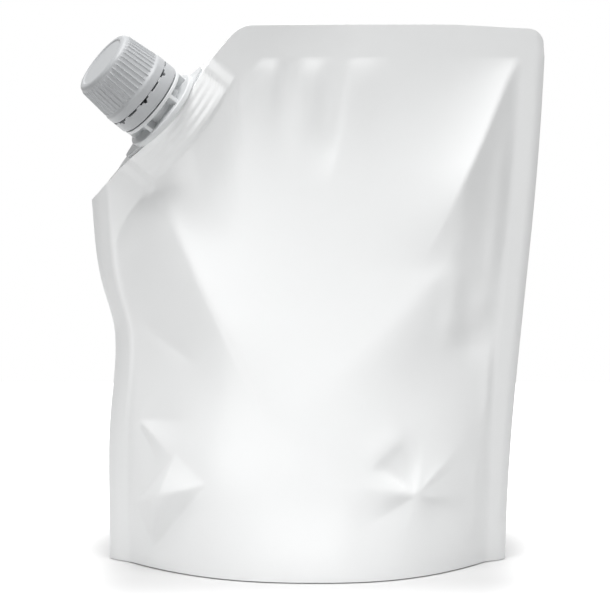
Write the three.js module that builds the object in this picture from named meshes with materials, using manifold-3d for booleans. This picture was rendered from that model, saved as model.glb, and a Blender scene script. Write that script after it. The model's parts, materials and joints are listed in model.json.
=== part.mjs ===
// A stand-up film pouch, filled and standing on its gusset, with a threaded spout welded into a
// cut corner and a ribbed screw cap. Millimetres, +Z up. The origin is on the floor at the middle
// of the base, and the front panel faces -Y.
import * as THREE from 'three';
import Module from 'manifold-3d';
import { ParametricGeometry } from 'three/addons/geometries/ParametricGeometry.js';
import { mergeGeometries, mergeVertices } from 'three/addons/utils/BufferGeometryUtils.js';

const wasm = await Module();
wasm.setup();

// Bag: the film as cut, and the depth it swells to
const BAG_WIDTH = 170;
const BAG_HEIGHT = 200;
const BAG_DEPTH = 68;
const SEAL_THICKNESS = 0.5;
const SIDE_SEAL = 8;
const TOP_SEAL = 12;
const CUT_WIDTH = 61.2;
const CUT_HEIGHT = 64;
const CUT_SEAL = 12.5;
const CUT_CORNER_BLEND = 5;
const TOP_CORNER_RADIUS = 5;
const TOP_DROOP = 1.5;
const TOP_DROOP_WIDTH = 36;

// Bag: the belly, an S-shaped curve from the top weld to the foot, and its rounded foot
const FILL_RISE = 1.4;
const FILL_EASE = 2;
const FOOT_FULL = 30;
const FOOT_HEIGHT = 95;
const FOOT_CREST = 4;
const FOOT_FLATNESS = 2.4;
const PULL_IN = 0.33;

// Bag: slopes of the flanks that rise from the welds, and the rounding where they meet
const LEFT_SLOPE_FOOT = 0.55;
const LEFT_SLOPE_STEEP = 0.64;
const LEFT_SLOPE_TOP = 0.54;
const LEFT_STEEP_HEIGHT = 84;
const LEFT_STEEP_SPREAD = 24;
const RIGHT_SLOPE_FOOT = 0.42;
const RIGHT_SLOPE_TOP = 0.76;
const RIGHT_STEEPER_FROM = 100;
const RIGHT_STEEPER_TO = 165;
const CORNER_SLOPE = 1.6;
const SEAL_FILLET = 1.4;
const HIP_ROUND_LOW = 9;
const HIP_ROUND_HIGH = 1.2;
const HIP_LOW = 40;
const HIP_HIGH = 120;

// Bag: ridges that run down from the upper corners, and folds that hang from the top weld
const RIDGE_HEIGHT = 9;
const RIDGE_SPREAD = 13;
const WEDGE_HEIGHT = 9.5;
const WEDGE_SPREAD = 12;
const WEDGE_START = 8;
const CREST_RADIUS = 0.7;
const HUNG_RISE = 3.5;
const HUNG_LENGTH = 15;
const FOLD_OVERRUN = 0.15;
const FOLD_FULL = 0.3;
const FOLD_FADE = 3;
const FOLD_KEEP = 0.2;
const FOLD_KEEP_ROUND = 1;

// Bag: how the welded edges stray from straight lines and turn to the back
const LEFT_NIP = 4.9;
const LEFT_NIP_HEIGHT = 85;
const LEFT_NIP_SPREAD_UP = 12.5;
const LEFT_NIP_SPREAD_DOWN = 20;
const LEFT_TURN = THREE.MathUtils.degToRad(26);
const LEFT_TURN_NIP = THREE.MathUtils.degToRad(46);
const LEFT_TURN_SPREAD = 38;
const RIGHT_TURN = THREE.MathUtils.degToRad(26);
const LEFT_SHOULDER = 0.9;
const LEFT_SHOULDER_HEIGHT = 145;
const LEFT_SHOULDER_SPREAD = 16;
const RIGHT_BOW = 3.4;
const RIGHT_BOW_SKEW = 1.61;
const EDGE_CURL = 0.4;
const CURL_WIDTH = 3.2;

// Bag: base gusset, with a flat foot inside a thin skirt
const SKIRT_WIDTH = 0.8;
const GROOVE_WIDTH = 8;
const GROOVE_HEIGHT = 4;
const GROOVE_FULL_DEPTH = 14;

// Bag: grid of each panel
const COLUMNS_LEFT_SEAL = 2;
const COLUMNS_CUT = 17;
const COLUMNS_REST = 30;
const RIGHT_SEAL_STATIONS = [0, 0.3, 0.62, 0.88, 1];
const ROWS_PANEL = 42;
const ROWS_SEAL = 7;

// Spout: bore, neck and thread
const BORE_RADIUS = 7.6;
const NECK_WALL = 2;
const MOUTH_EDGE = 0.6;
const THREAD_RADIUS = 1;
const THREAD_PITCH = 4;
const THREAD_TURNS = 1.5;
const THREAD_START = 4.4;
const CLEARANCE = 0.35;

// Spout: flanges that the filling rails grip, and the webs between them
const EDGE_GAP = 0.5;
const LOWER_FLANGE_THICKNESS = 2.2;
const LOWER_FLANGE_LIP = 1.7;
const FLANGE_EDGE = 0.4;
const RAIL_SLOT = 3.3;
const UPPER_FLANGE_THICKNESS = 1.4;
const UPPER_FLANGE_INSET = 0.3;
const WEB_COUNT = 6;
const WEB_THICKNESS = 1.6;
const WEB_INSET = 0.1;
const WEB_SINK = 0.5;

// Spout: boat-shaped weld base between the two films
const BOAT_LENGTH = 42;
const BOAT_HEIGHT = 10.5;
const BOAT_WALL = 2;
const BOAT_TIP = 1.6;
const BOAT_FULLNESS = 1;
const BOAT_RIBS = 4;
const BOAT_RIB_HEIGHT = 0.5;
const BOAT_FILM = 0.6;
const BOAT_FILM_RUNOUT = 4;
const SPOUT_TILT = THREE.MathUtils.degToRad(14);
const TILT_START = 10;
const TILT_END = 32;

// Film over the boat: how far the swelling runs on into the bag
const BOAT_STEP = 0.12;
const BOAT_STEP_LENGTH = 2;
const BOAT_TAIL = 65;
const BOAT_NARROWING = 0.5;
const BOAT_BLEND = 3;
const BOAT_BLEND_LEAST = 0.001;

// Cap, liner and tamper band
const CAP_WALL = 1.6;
const CAP_TOP = 1.5;
const CAP_TAPER = 1.3;
const CAP_EDGE_RADIUS = 1.6;
const KNURL_LENGTH = 13.8;
const KNURL_COUNT = 44;
const KNURL_HEIGHT = 0.45;
const KNURL_SHARE = 0.2;
const COLLAR_STEP = 0.75;
const COLLAR_HEIGHT = 3.8;
const COLLAR_EDGE = 0.3;
const FACE_RIM = 2.6;
const FACE_RECESS = 0.4;
const LINER_THICKNESS = 1;
const BAND_HEIGHT = 4.6;
const BAND_EDGE = 0.7;
const BEAD_HEIGHT = 1.4;
const BEAD_LIP = 1.6;
const HOOK_HEIGHT = 1.5;
const HOOK_GRIP = 0.7;
const BRIDGE_COUNT = 14;
const BRIDGE_WIDTH = 2.2;
const BRIDGE_HEIGHT = 0.3;
const WINDOW_WIDTH = 1.6;
const WINDOW_HEIGHT = 0.9;
const ROUND_SEGMENTS = 40;

// A cutting body runs this far past the face that it opens
const CUT_PAST = 1;

// Colours of the film and the two plastics
const FILM_WHITE = 0xf3f4f4;
const NATURAL_PLASTIC = 0xe6e7e7;
const CAP_GREY = 0xbdbfc0;

// Small helpers for smooth shapes
const { clamp, smoothstep } = THREE.MathUtils;

function softMin(a, b, round) {
  const overlap = Math.max(round - Math.abs(a - b), 0) / round;
  return Math.min(a, b) - overlap * overlap * round / 4;
}

function softMax(a, b, round) {
  return -softMin(-a, -b, round);
}

function bell(distance, spread) {
  return Math.exp(-distance * distance / (2 * spread * spread));
}

// Solids: closed geometry to a solid for cutting and joining, and back
function toSolid(geometry) {
  const bare = new THREE.BufferGeometry();
  bare.setAttribute('position', geometry.getAttribute('position'));
  bare.setIndex(geometry.getIndex());
  const welded = mergeVertices(bare, 1e-4);
  const index = welded.getIndex().array;
  const triangles = [];
  for (let i = 0; i < index.length; i += 3) {
    const [a, b, c] = [index[i], index[i + 1], index[i + 2]];
    if (a !== b && b !== c && c !== a) {
      triangles.push(a, b, c);
    }
  }
  const mesh = new wasm.Mesh({
    numProp: 3,
    vertProperties: new Float32Array(welded.getAttribute('position').array),
    triVerts: new Uint32Array(triangles),
  });
  return new wasm.Manifold(mesh);
}

function toGeometry(solid) {
  const mesh = solid.getMesh();
  const geometry = new THREE.BufferGeometry();
  geometry.setAttribute('position', new THREE.BufferAttribute(mesh.vertProperties, 3));
  geometry.setIndex(new THREE.BufferAttribute(mesh.triVerts, 1));
  geometry.computeVertexNormals();
  return geometry;
}

// A profile of [radius, height] pairs turned about +Z
function turned(profile, segments = ROUND_SEGMENTS) {
  const points = profile.map(([radius, height]) => new THREE.Vector2(radius, height));
  return new THREE.LatheGeometry(points, segments).rotateX(Math.PI / 2);
}

// A flat outline raised from the height low to the height high
function raised(shape, low, high) {
  const options = { depth: high - low, bevelEnabled: false, curveSegments: 12 };
  return new THREE.ExtrudeGeometry(shape, options).translate(0, 0, low);
}

// Bag outline. The film does not stretch, so a flank that rises takes up width.
const SEAL_LINE = BAG_HEIGHT - TOP_SEAL;
const CUT_FOOT = BAG_HEIGHT - CUT_HEIGHT;

function fillDepth(z) {
  const level = clamp(z / SEAL_LINE, 0, 1);
  return BAG_DEPTH / 2 * (1 - level ** FILL_RISE) ** FILL_EASE;
}

function halfWidth(z) {
  const level = clamp(z / SEAL_LINE, 0, 1);
  return BAG_WIDTH / 2 - PULL_IN * BAG_DEPTH / 2 * (1 - level * level);
}

function leftNip(z) {
  const spread = z > LEFT_NIP_HEIGHT ? LEFT_NIP_SPREAD_UP : LEFT_NIP_SPREAD_DOWN;
  return bell(z - LEFT_NIP_HEIGHT, spread);
}

function leftEdge(z) {
  const shoulder = LEFT_SHOULDER * bell(z - LEFT_SHOULDER_HEIGHT, LEFT_SHOULDER_SPREAD);
  return LEFT_NIP * leftNip(z) + shoulder - halfWidth(z);
}

function rightEdge(z) {
  const share = clamp(z / BAG_HEIGHT, 0, 1);
  return halfWidth(z) + RIGHT_BOW * Math.sin(Math.PI * share ** RIGHT_BOW_SKEW);
}

// Angles by which the side welds are turned to the back: the left one most at its nip, the right
// one most at the floor
function leftTurn(z) {
  return THREE.MathUtils.lerp(LEFT_TURN, LEFT_TURN_NIP, bell(z - LEFT_NIP_HEIGHT, LEFT_TURN_SPREAD));
}

function rightTurn(z) {
  return RIGHT_TURN * (1 - smoothstep(z, 0, BAG_HEIGHT));
}

// Inner edges of the side welds, which show narrower where they are turned
function leftWeld(z) {
  return leftEdge(z) + SIDE_SEAL * Math.cos(leftTurn(z));
}

function rightWeld(z) {
  return rightEdge(z) - SIDE_SEAL * Math.cos(rightTurn(z));
}

// The place across the bag, at height z, of a point of the flat film
function filmX(flatX, z) {
  const fromLeft = flatX + BAG_WIDTH / 2;
  const fromRight = BAG_WIDTH / 2 - flatX;
  if (fromLeft < SIDE_SEAL) {
    return leftEdge(z) + fromLeft * Math.cos(leftTurn(z));
  }
  if (fromRight < SIDE_SEAL) {
    return rightEdge(z) - fromRight * Math.cos(rightTurn(z));
  }
  const share = (fromLeft - SIDE_SEAL) / (BAG_WIDTH - 2 * SIDE_SEAL);
  return THREE.MathUtils.lerp(leftWeld(z), rightWeld(z), share);
}

// The cut corner is a straight line from the left edge up to the top edge
const cutLow = new THREE.Vector2(leftEdge(CUT_FOOT), CUT_FOOT);
const cutHigh = new THREE.Vector2(filmX(CUT_WIDTH - BAG_WIDTH / 2, BAG_HEIGHT), BAG_HEIGHT);
const cutAlong = cutHigh.clone().sub(cutLow).normalize();
const cutInward = new THREE.Vector2(cutAlong.y, -cutAlong.x);
const cutMiddle = cutLow.clone().lerp(cutHigh, 0.5);

function inwardFromCut(x, z) {
  return (x - cutMiddle.x) * cutInward.x + (z - cutMiddle.y) * cutInward.y;
}

function alongCut(x, z) {
  return (x - cutMiddle.x) * cutAlong.x + (z - cutMiddle.y) * cutAlong.y;
}

// Height where a film column meets the line that lies a given distance inside the cut
function cutHeight(flatX, inset) {
  const slope = cutAlong.y / cutAlong.x;
  const drop = inset / cutAlong.x;
  let z = BAG_HEIGHT;
  for (let pass = 0; pass < 12; pass += 1) {
    z = cutMiddle.y - drop + (filmX(flatX, Math.min(z, BAG_HEIGHT)) - cutMiddle.x) * slope;
  }
  return z;
}

function topEdge(flatX) {
  const droop = TOP_DROOP * smoothstep(flatX, BAG_WIDTH / 2 - TOP_DROOP_WIDTH, BAG_WIDTH / 2);
  const plain = softMin(cutHeight(flatX, 0), BAG_HEIGHT, CUT_CORNER_BLEND) - droop;
  const intoCorner = Math.max(flatX - (BAG_WIDTH / 2 - TOP_CORNER_RADIUS), 0);
  const arc = Math.sqrt(TOP_CORNER_RADIUS ** 2 - Math.min(intoCorner, TOP_CORNER_RADIUS) ** 2);
  return plain - (TOP_CORNER_RADIUS - arc);
}

function sealEdge(flatX) {
  return softMin(cutHeight(flatX, CUT_SEAL), SEAL_LINE, CUT_CORNER_BLEND);
}

// Middle surface of the bag: the cut corner leans to the front, and the side welds turn to the
// back and curl a little at their edges
const tiltRise = Math.tan(SPOUT_TILT);

function cornerLean(x, z) {
  const inward = inwardFromCut(x, z);
  const bend = Math.max(TILT_END - Math.max(inward, TILT_START), 0);
  const straight = Math.max(TILT_START - inward, 0);
  return tiltRise * (bend * bend / (2 * (TILT_END - TILT_START)) + straight);
}

function middleY(x, z) {
  const pastLeft = Math.max(leftWeld(z) - x, 0);
  const pastRight = Math.max(x - rightWeld(z), 0);
  const turnedBack = Math.tan(leftTurn(z)) * pastLeft + Math.tan(rightTurn(z)) * pastRight;
  const curlLeft = Math.max(leftEdge(z) + CURL_WIDTH - x, 0);
  const curlRight = Math.max(x - rightEdge(z) + CURL_WIDTH, 0);
  const curl = EDGE_CURL * (curlLeft ** 2 + curlRight ** 2) / CURL_WIDTH;
  return curl + turnedBack - cornerLean(x, z);
}

function middleNormal(x, z) {
  const step = 0.05;
  const slopeX = (middleY(x + step, z) - middleY(x - step, z)) / (2 * step);
  const slopeZ = (middleY(x, z + step) - middleY(x, z - step)) / (2 * step);
  return new THREE.Vector3(slopeX, -1, slopeZ).normalize();
}

// Boat: half its thickness at a place along the cut
const boatHalf = BORE_RADIUS + BOAT_WALL;

function boatHull(along) {
  const share = clamp(2 * Math.abs(along) / BOAT_LENGTH, 0, 1);
  return BOAT_TIP + (boatHalf - BOAT_TIP) * (1 - share * share) ** BOAT_FULLNESS;
}

// Film over the boat: tight on its ribs in the weld, then a step down and a long, narrowing tail
const ribPitch = BOAT_HEIGHT / BOAT_RIBS;

function boatSwell(along, inward) {
  const past = Math.max(inward - BOAT_HEIGHT, 0);
  const narrowed = along / (1 - BOAT_NARROWING * Math.min(past / BOAT_TAIL, 1));
  const beyond = Math.max(Math.abs(narrowed) - BOAT_LENGTH / 2 - CLEARANCE - BOAT_FILM, 0);
  const cover = (BOAT_TIP + CLEARANCE + BOAT_FILM) * (1 - smoothstep(beyond, 0, BOAT_FILM_RUNOUT));
  const step = BOAT_STEP * smoothstep(past, 0, BOAT_STEP_LENGTH);
  const tail = 1 - smoothstep(past, 0, BOAT_TAIL);
  const hull = boatHull(narrowed) - BOAT_TIP;
  const ribs = hull / boatHalf * BOAT_RIB_HEIGHT * (1 - Math.cos(2 * Math.PI * inward / ribPitch)) / 2;
  const ribbed = past > 0 ? 0 : ribs;
  return (hull + cover) * (1 - step) * tail + ribbed;
}

// Folds. Places are shares of the half width and of the height; heights and spreads are lengths.
const place = (across, up) => new THREE.Vector2(across * BAG_WIDTH / 2, up * BAG_HEIGHT);

// How much of a line is reached, fading at both ends, and the distance from it: over 0 on the
// left of its run
function alongLine(x, z, from, to) {
  const run = to.clone().sub(from);
  const length = run.length();
  const along = ((x - from.x) * run.x + (z - from.y) * run.y) / (length * length);
  const side = ((z - from.y) * run.x - (x - from.x) * run.y) / length;
  const started = smoothstep(along, -FOLD_OVERRUN, FOLD_FULL);
  const ended = smoothstep(along, 1 - FOLD_FULL, 1 + FOLD_OVERRUN);
  return { reached: started * (1 - ended), side };
}

// A rounded ridge or valley, which falls off over its own distance on each side
function softFold(x, z, { from, to, height, left, right }) {
  const { reached, side } = alongLine(x, z, from, to);
  return height * reached * bell(side, side < 0 ? right : left);
}

// A sharp ridge or valley
function crease(x, z, { from, to, height, left, right }) {
  const { reached, side } = alongLine(x, z, from, to);
  const away = Math.hypot(side, CREST_RADIUS) - CREST_RADIUS;
  return height * reached * Math.exp(-away / (side < 0 ? right : left));
}

// A roll or hollow that hangs from the top weld
function hung(x, z, { across, height, spread }) {
  const under = Math.max(SEAL_LINE - z, 0);
  const hang = (1 - Math.exp(-under / HUNG_RISE)) * bell(under, HUNG_LENGTH);
  return height * hang * bell(x - across * BAG_WIDTH / 2, spread);
}

function dent(x, z, { at, height, wide, tall }) {
  return height * bell(x - at.x, wide) * bell(z - at.y, tall);
}

// A pinch with ridges that ray out of it: rays are pairs of an angle in degrees and a share
function pinch(x, z, { at, height, spread, rays }) {
  const far = Math.hypot(x - at.x, z - at.y) / spread;
  const turn = THREE.MathUtils.radToDeg(Math.atan2(z - at.y, x - at.x));
  const angle = THREE.MathUtils.euclideanModulo(turn, 360);
  const next = rays.findIndex(([degrees]) => degrees > angle);
  const [endAngle, endShare] = next < 0 ? [rays[0][0] + 360, rays[0][1]] : rays[next];
  const [startAngle, startShare] = rays[(next < 0 ? rays.length : next) - 1];
  const share = THREE.MathUtils.mapLinear(angle, startAngle, endAngle, startShare, endShare);
  return height * share * far * Math.exp(1 - far);
}

const FRONT_STAR = [
  [0, 0.2], [35, -0.2], [62, 0.3], [82, -0.8], [125, -0.9], [143, 0.4], [165, -0.5],
  [190, 0.4], [215, -0.6], [250, 0.3], [285, 0.3], [318, -0.6], [342, 0.5],
];
const SIDE_STAR = [[0, -0.62], [5, -0.8], [60, 0], [270, 0], [298, -0.3], [318, 0.8]];
const BACK_STAR = [[0, 0.5], [40, -0.6], [100, 0.4], [150, -1], [200, 0.5], [250, -0.7], [310, 0.3]];

function frontFolds(x, z) {
  const folds = [
    hung(x, z, { across: -0.165, height: 1.7, spread: 4 }),
    hung(x, z, { across: -0.082, height: -1.7, spread: 2.4 }),
    hung(x, z, { across: 0.024, height: 1.6, spread: 4.3 }),
    hung(x, z, { across: 0.235, height: 1, spread: 5 }),
    softFold(x, z, { from: place(0.165, 0.96), to: place(0.082, 0.74), height: -1.6, left: 1.6, right: 5 }),
    softFold(x, z, { from: place(0.847, 0.8), to: place(0.788, 0.52), height: 0.9, left: 2.2, right: 2.2 }),
    softFold(x, z, { from: place(0.635, 0.56), to: place(0.61, 0.42), height: 1.4, left: 3, right: 3 }),
    softFold(x, z, { from: place(-0.52, 0.16), to: place(-0.62, 0.025), height: -2, left: 4, right: 4 }),
    softFold(x, z, { from: place(0.27, 0.215), to: place(0.42, 0.28), height: 1.2, left: 2.5, right: 2.5 }),
    crease(x, z, { from: place(-0.72, 0.455), to: place(-0.49, 0.39), height: -1.4, left: 5, right: 4 }),
    crease(x, z, { from: place(-0.365, 0.18), to: place(-0.74, 0.13), height: 2.8, left: 3, right: 6 }),
    dent(x, z, { at: place(-0.553, 0.76), height: -1.6, wide: 3.5, tall: 4.5 }),
    dent(x, z, { at: place(0.706, 0.425), height: -1.5, wide: 4, tall: 5 }),
    dent(x, z, { at: place(-0.094, 0.225), height: 2.6, wide: 34, tall: 20 }),
    pinch(x, z, { at: place(-0.74, 0.275), height: 1, spread: 5, rays: SIDE_STAR }),
    pinch(x, z, { at: place(0.466, 0.15), height: 1.7, spread: 8, rays: FRONT_STAR }),
  ];
  return folds.reduce((sum, rise) => sum + rise, 0);
}

function backFolds(x, z) {
  const folds = [
    hung(x, z, { across: -0.047, height: 1.2, spread: 5 }),
    hung(x, z, { across: 0.094, height: -1.3, spread: 3 }),
    hung(x, z, { across: 0.282, height: 1.1, spread: 5 }),
    dent(x, z, { at: place(-0.094, 0.225), height: 2.2, wide: 34, tall: 20 }),
    dent(x, z, { at: place(-0.494, 0.14), height: -2.6, wide: 9, tall: 6 }),
    pinch(x, z, { at: place(0.494, 0.17), height: 1.6, spread: 6, rays: BACK_STAR }),
  ];
  return folds.reduce((sum, rise) => sum + rise, 0);
}

// Two ridges run down from the upper corners into the belly and stand above its sunken middle. A
// flank cuts each of them off on its outer side.
function ridges(x, z) {
  const left = crease(x, z, {
    from: place(-0.682, 0.86),
    to: place(-0.235, 0.3),
    height: RIDGE_HEIGHT,
    left: RIDGE_SPREAD,
    right: BAG_WIDTH / 2,
  });
  const wedge = crease(x, z, {
    from: place(1.082, 1.07),
    to: place(0.588, 0.645),
    height: WEDGE_HEIGHT,
    left: BAG_WIDTH / 2,
    right: WEDGE_SPREAD,
  });
  return left + wedge * (1 - Math.exp(-Math.max(SEAL_LINE - z, 0) / WEDGE_START));
}

// Height of a flank at a distance inside its weld, with a small hollow fillet at the weld line
function flank(distance, slope) {
  const inside = Math.max(distance, 0);
  return slope * (Math.hypot(inside, SEAL_FILLET) - SEAL_FILLET);
}

// Slope of the left flank, steepest at mid height, and of the right flank, steeper at the top
function leftSlope(z) {
  const rest = z < LEFT_STEEP_HEIGHT ? LEFT_SLOPE_FOOT : LEFT_SLOPE_TOP;
  return rest + (LEFT_SLOPE_STEEP - rest) * bell(z - LEFT_STEEP_HEIGHT, LEFT_STEEP_SPREAD);
}

function rightSlope(z) {
  const steeper = smoothstep(z, RIGHT_STEEPER_FROM, RIGHT_STEEPER_TO);
  return THREE.MathUtils.lerp(RIGHT_SLOPE_FOOT, RIGHT_SLOPE_TOP, steeper);
}

// Rounded section above the base: a flattened parabola from weld to weld with its crest off centre
function footBulge(x, z) {
  const edge = x < FOOT_CREST ? leftWeld(z) : rightWeld(z);
  const share = Math.max((x - FOOT_CREST) / (edge - FOOT_CREST), 0);
  return fillDepth(z) * Math.max(1 - share ** FOOT_FLATNESS, 0);
}

// Half thickness of the bag: the lowest of the tents that rise from its welds and of the belly,
// with its folds, or the boat where that is higher
function swell(x, z, folds) {
  const fromLeft = x - leftWeld(z);
  const fromRight = rightWeld(z) - x;
  const fromCut = inwardFromCut(x, z) - CUT_SEAL;
  const round = THREE.MathUtils.lerp(HIP_ROUND_LOW, HIP_ROUND_HIGH, smoothstep(z, HIP_LOW, HIP_HIGH));
  const sides = softMin(flank(fromLeft, leftSlope(z)), flank(fromRight, rightSlope(z)), round);
  const belly = softMin(flank(fromCut, CORNER_SLOPE), fillDepth(z) + ridges(x, z), round);
  const hips = Math.max(softMin(sides, belly, round), 0);
  const tent = THREE.MathUtils.lerp(footBulge(x, z), hips, smoothstep(z, FOOT_FULL, FOOT_HEIGHT));
  const nearest = Math.min(fromLeft, fromRight, fromCut);
  const folded = tent + folds(x, z) * smoothstep(nearest, 0, FOLD_FADE);
  const kept = softMax(folded, FOLD_KEEP * tent, FOLD_KEEP_ROUND);
  const inSeam = smoothstep(x, leftEdge(z), leftWeld(z));
  const boat = boatSwell(alongCut(x, z), inwardFromCut(x, z)) * inSeam;
  const blend = Math.max(Math.min(BOAT_BLEND, (kept + boat) / 2), BOAT_BLEND_LEAST);
  return SEAL_THICKNESS / 2 + softMax(kept, boat, blend);
}

// Film columns across the bag and rows up it
function stations(from, to, count) {
  return Array.from({ length: count }, (_, i) => from + (to - from) * i / count);
}

const columns = [
  ...stations(0, SIDE_SEAL, COLUMNS_LEFT_SEAL),
  ...stations(SIDE_SEAL, CUT_WIDTH, COLUMNS_CUT),
  ...stations(CUT_WIDTH, BAG_WIDTH - SIDE_SEAL, COLUMNS_REST),
  ...RIGHT_SEAL_STATIONS.map((share) => BAG_WIDTH - SIDE_SEAL * (1 - share)),
].map((fromLeft) => fromLeft - BAG_WIDTH / 2);
const lastColumn = columns.length - 1;
const lastRow = ROWS_PANEL + ROWS_SEAL;

function filmHeight(flatX, row) {
  const inner = sealEdge(flatX);
  if (row <= ROWS_PANEL) {
    return inner * row / ROWS_PANEL;
  }
  return THREE.MathUtils.lerp(inner, topEdge(flatX), (row - ROWS_PANEL) / ROWS_SEAL);
}

// A point of the film: side is 1 on the front panel and -1 on the back panel. The lowest row lies
// on the floor.
function filmPoint(column, row, side) {
  const flatX = columns[column];
  const z = filmHeight(flatX, row);
  const x = filmX(flatX, z);
  const half = swell(x, z, side > 0 ? frontFolds : backFolds);
  const normal = middleNormal(x, z);
  const point = new THREE.Vector3(x, middleY(x, z), z).addScaledVector(normal, side * half);
  return row === 0 ? point.setZ(0) : point;
}

// The base across one column: skirt, groove and flat foot from the front, and the same from the back
function basePoint(column, rib) {
  const fromFront = rib < 4;
  const edge = filmPoint(column, 0, fromFront ? 1 : -1);
  const reach = Math.abs(edge.y);
  const inSeam = Math.abs(columns[column]) >= BAG_WIDTH / 2 - SIDE_SEAL;
  const share = inSeam ? 0 : clamp(reach / GROOVE_FULL_DEPTH, 0, 1);
  const steps = [0, SKIRT_WIDTH, SKIRT_WIDTH + GROOVE_WIDTH / 2, SKIRT_WIDTH + GROOVE_WIDTH];
  const stepNumber = fromFront ? rib : 7 - rib;
  const inward = steps[stepNumber] * share;
  const height = stepNumber === 2 ? GROOVE_HEIGHT * share : 0;
  return new THREE.Vector3(edge.x, edge.y + (fromFront ? inward : -inward), height);
}

function bagGeometry() {
  const at = (share, count) => Math.round(share * count);
  const front = (u, v, p) => p.copy(filmPoint(at(u, lastColumn), at(v, lastRow), 1));
  const back = (u, v, p) => p.copy(filmPoint(at(1 - u, lastColumn), at(v, lastRow), -1));
  const leftRim = (u, v, p) => p.copy(filmPoint(0, at(v, lastRow), u > 0.5 ? 1 : -1));
  const rightRim = (u, v, p) => p.copy(filmPoint(lastColumn, at(v, lastRow), u > 0.5 ? -1 : 1));
  const topRim = (u, v, p) => p.copy(filmPoint(at(u, lastColumn), lastRow, v > 0.5 ? -1 : 1));
  const base = (u, v, p) => p.copy(basePoint(at(u, lastColumn), at(1 - v, 7)));
  return mergeGeometries([
    new ParametricGeometry(front, lastColumn, lastRow),
    new ParametricGeometry(back, lastColumn, lastRow),
    new ParametricGeometry(leftRim, 1, lastRow),
    new ParametricGeometry(rightRim, 1, lastRow),
    new ParametricGeometry(topRim, lastColumn, 1),
    new ParametricGeometry(base, lastColumn, 7),
  ]);
}

// Spout frame: X along the cut, Y to the back, Z out along the spout
const along3 = new THREE.Vector3(cutAlong.x, 0, cutAlong.y);
const outward3 = new THREE.Vector3(-cutInward.x, -tiltRise, -cutInward.y).normalize();
const behind3 = outward3.clone().cross(along3);
const spoutFrame = new THREE.Matrix4().makeBasis(along3, behind3, outward3);
spoutFrame.setPosition(cutMiddle.x, middleY(cutMiddle.x, cutMiddle.y), cutMiddle.y);

// Heights along the spout, counted from the film's edge
const lowerFlangeTop = EDGE_GAP + LOWER_FLANGE_THICKNESS;
const upperFlangeFoot = lowerFlangeTop + RAIL_SLOT;
const upperFlangeTop = upperFlangeFoot + UPPER_FLANGE_THICKNESS;
const bandFoot = upperFlangeTop + CLEARANCE;
const bandTop = bandFoot + BAND_HEIGHT;
const hookTop = bandFoot + HOOK_HEIGHT;
const beadFoot = hookTop + CLEARANCE;
const beadTop = beadFoot + BEAD_HEIGHT;
const capFoot = bandTop + BRIDGE_HEIGHT + CLEARANCE;
const collarTop = capFoot + COLLAR_HEIGHT;
const capTop = collarTop + KNURL_LENGTH;
const linerTop = capTop - CAP_TOP - CLEARANCE;
const linerFoot = linerTop - LINER_THICKNESS;
const mouth = linerFoot - CLEARANCE;

// Radii from the bore outwards
const neckRadius = BORE_RADIUS + NECK_WALL;
const beadRadius = neckRadius + BEAD_LIP;
const capInner = neckRadius + THREAD_RADIUS + CLEARANCE;
const capTopRadius = capInner + CAP_WALL;
const knurlFootRadius = capTopRadius + CAP_TAPER;
const collarRadius = knurlFootRadius + COLLAR_STEP;
const upperFlangeRadius = collarRadius - UPPER_FLANGE_INSET;
const lowerFlangeRadius = upperFlangeRadius + LOWER_FLANGE_LIP;

// Canoe outline of the boat, or of something larger by grow
function boatShape(grow) {
  const steps = 14;
  const half = BOAT_LENGTH / 2;
  const places = Array.from({ length: steps + 1 }, (_, i) => -half * Math.cos(Math.PI * i / steps));
  const side = places.map((e) => new THREE.Vector2(e * (half + grow) / half, boatHull(e) + grow));
  const other = side.map((p) => new THREE.Vector2(p.x, -p.y)).reverse();
  return new THREE.Shape([...side, ...other].reverse());
}

class Helix extends THREE.Curve {
  constructor(radius, start, turns) {
    super();
    Object.assign(this, { radius, start, turns });
  }

  getPoint(t, target = new THREE.Vector3()) {
    const angle = 2 * Math.PI * this.turns * t;
    const height = this.start + THREAD_PITCH * this.turns * t;
    return target.set(this.radius * Math.cos(angle), this.radius * Math.sin(angle), height);
  }
}

function threadRidge(radius, start) {
  const section = new THREE.Shape().absarc(0, 0, THREAD_RADIUS, 0, 2 * Math.PI, false);
  return new THREE.ExtrudeGeometry(section, {
    extrudePath: new Helix(radius, start, THREAD_TURNS),
    steps: 30,
    curveSegments: 6,
    bevelEnabled: false,
  });
}

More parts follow.
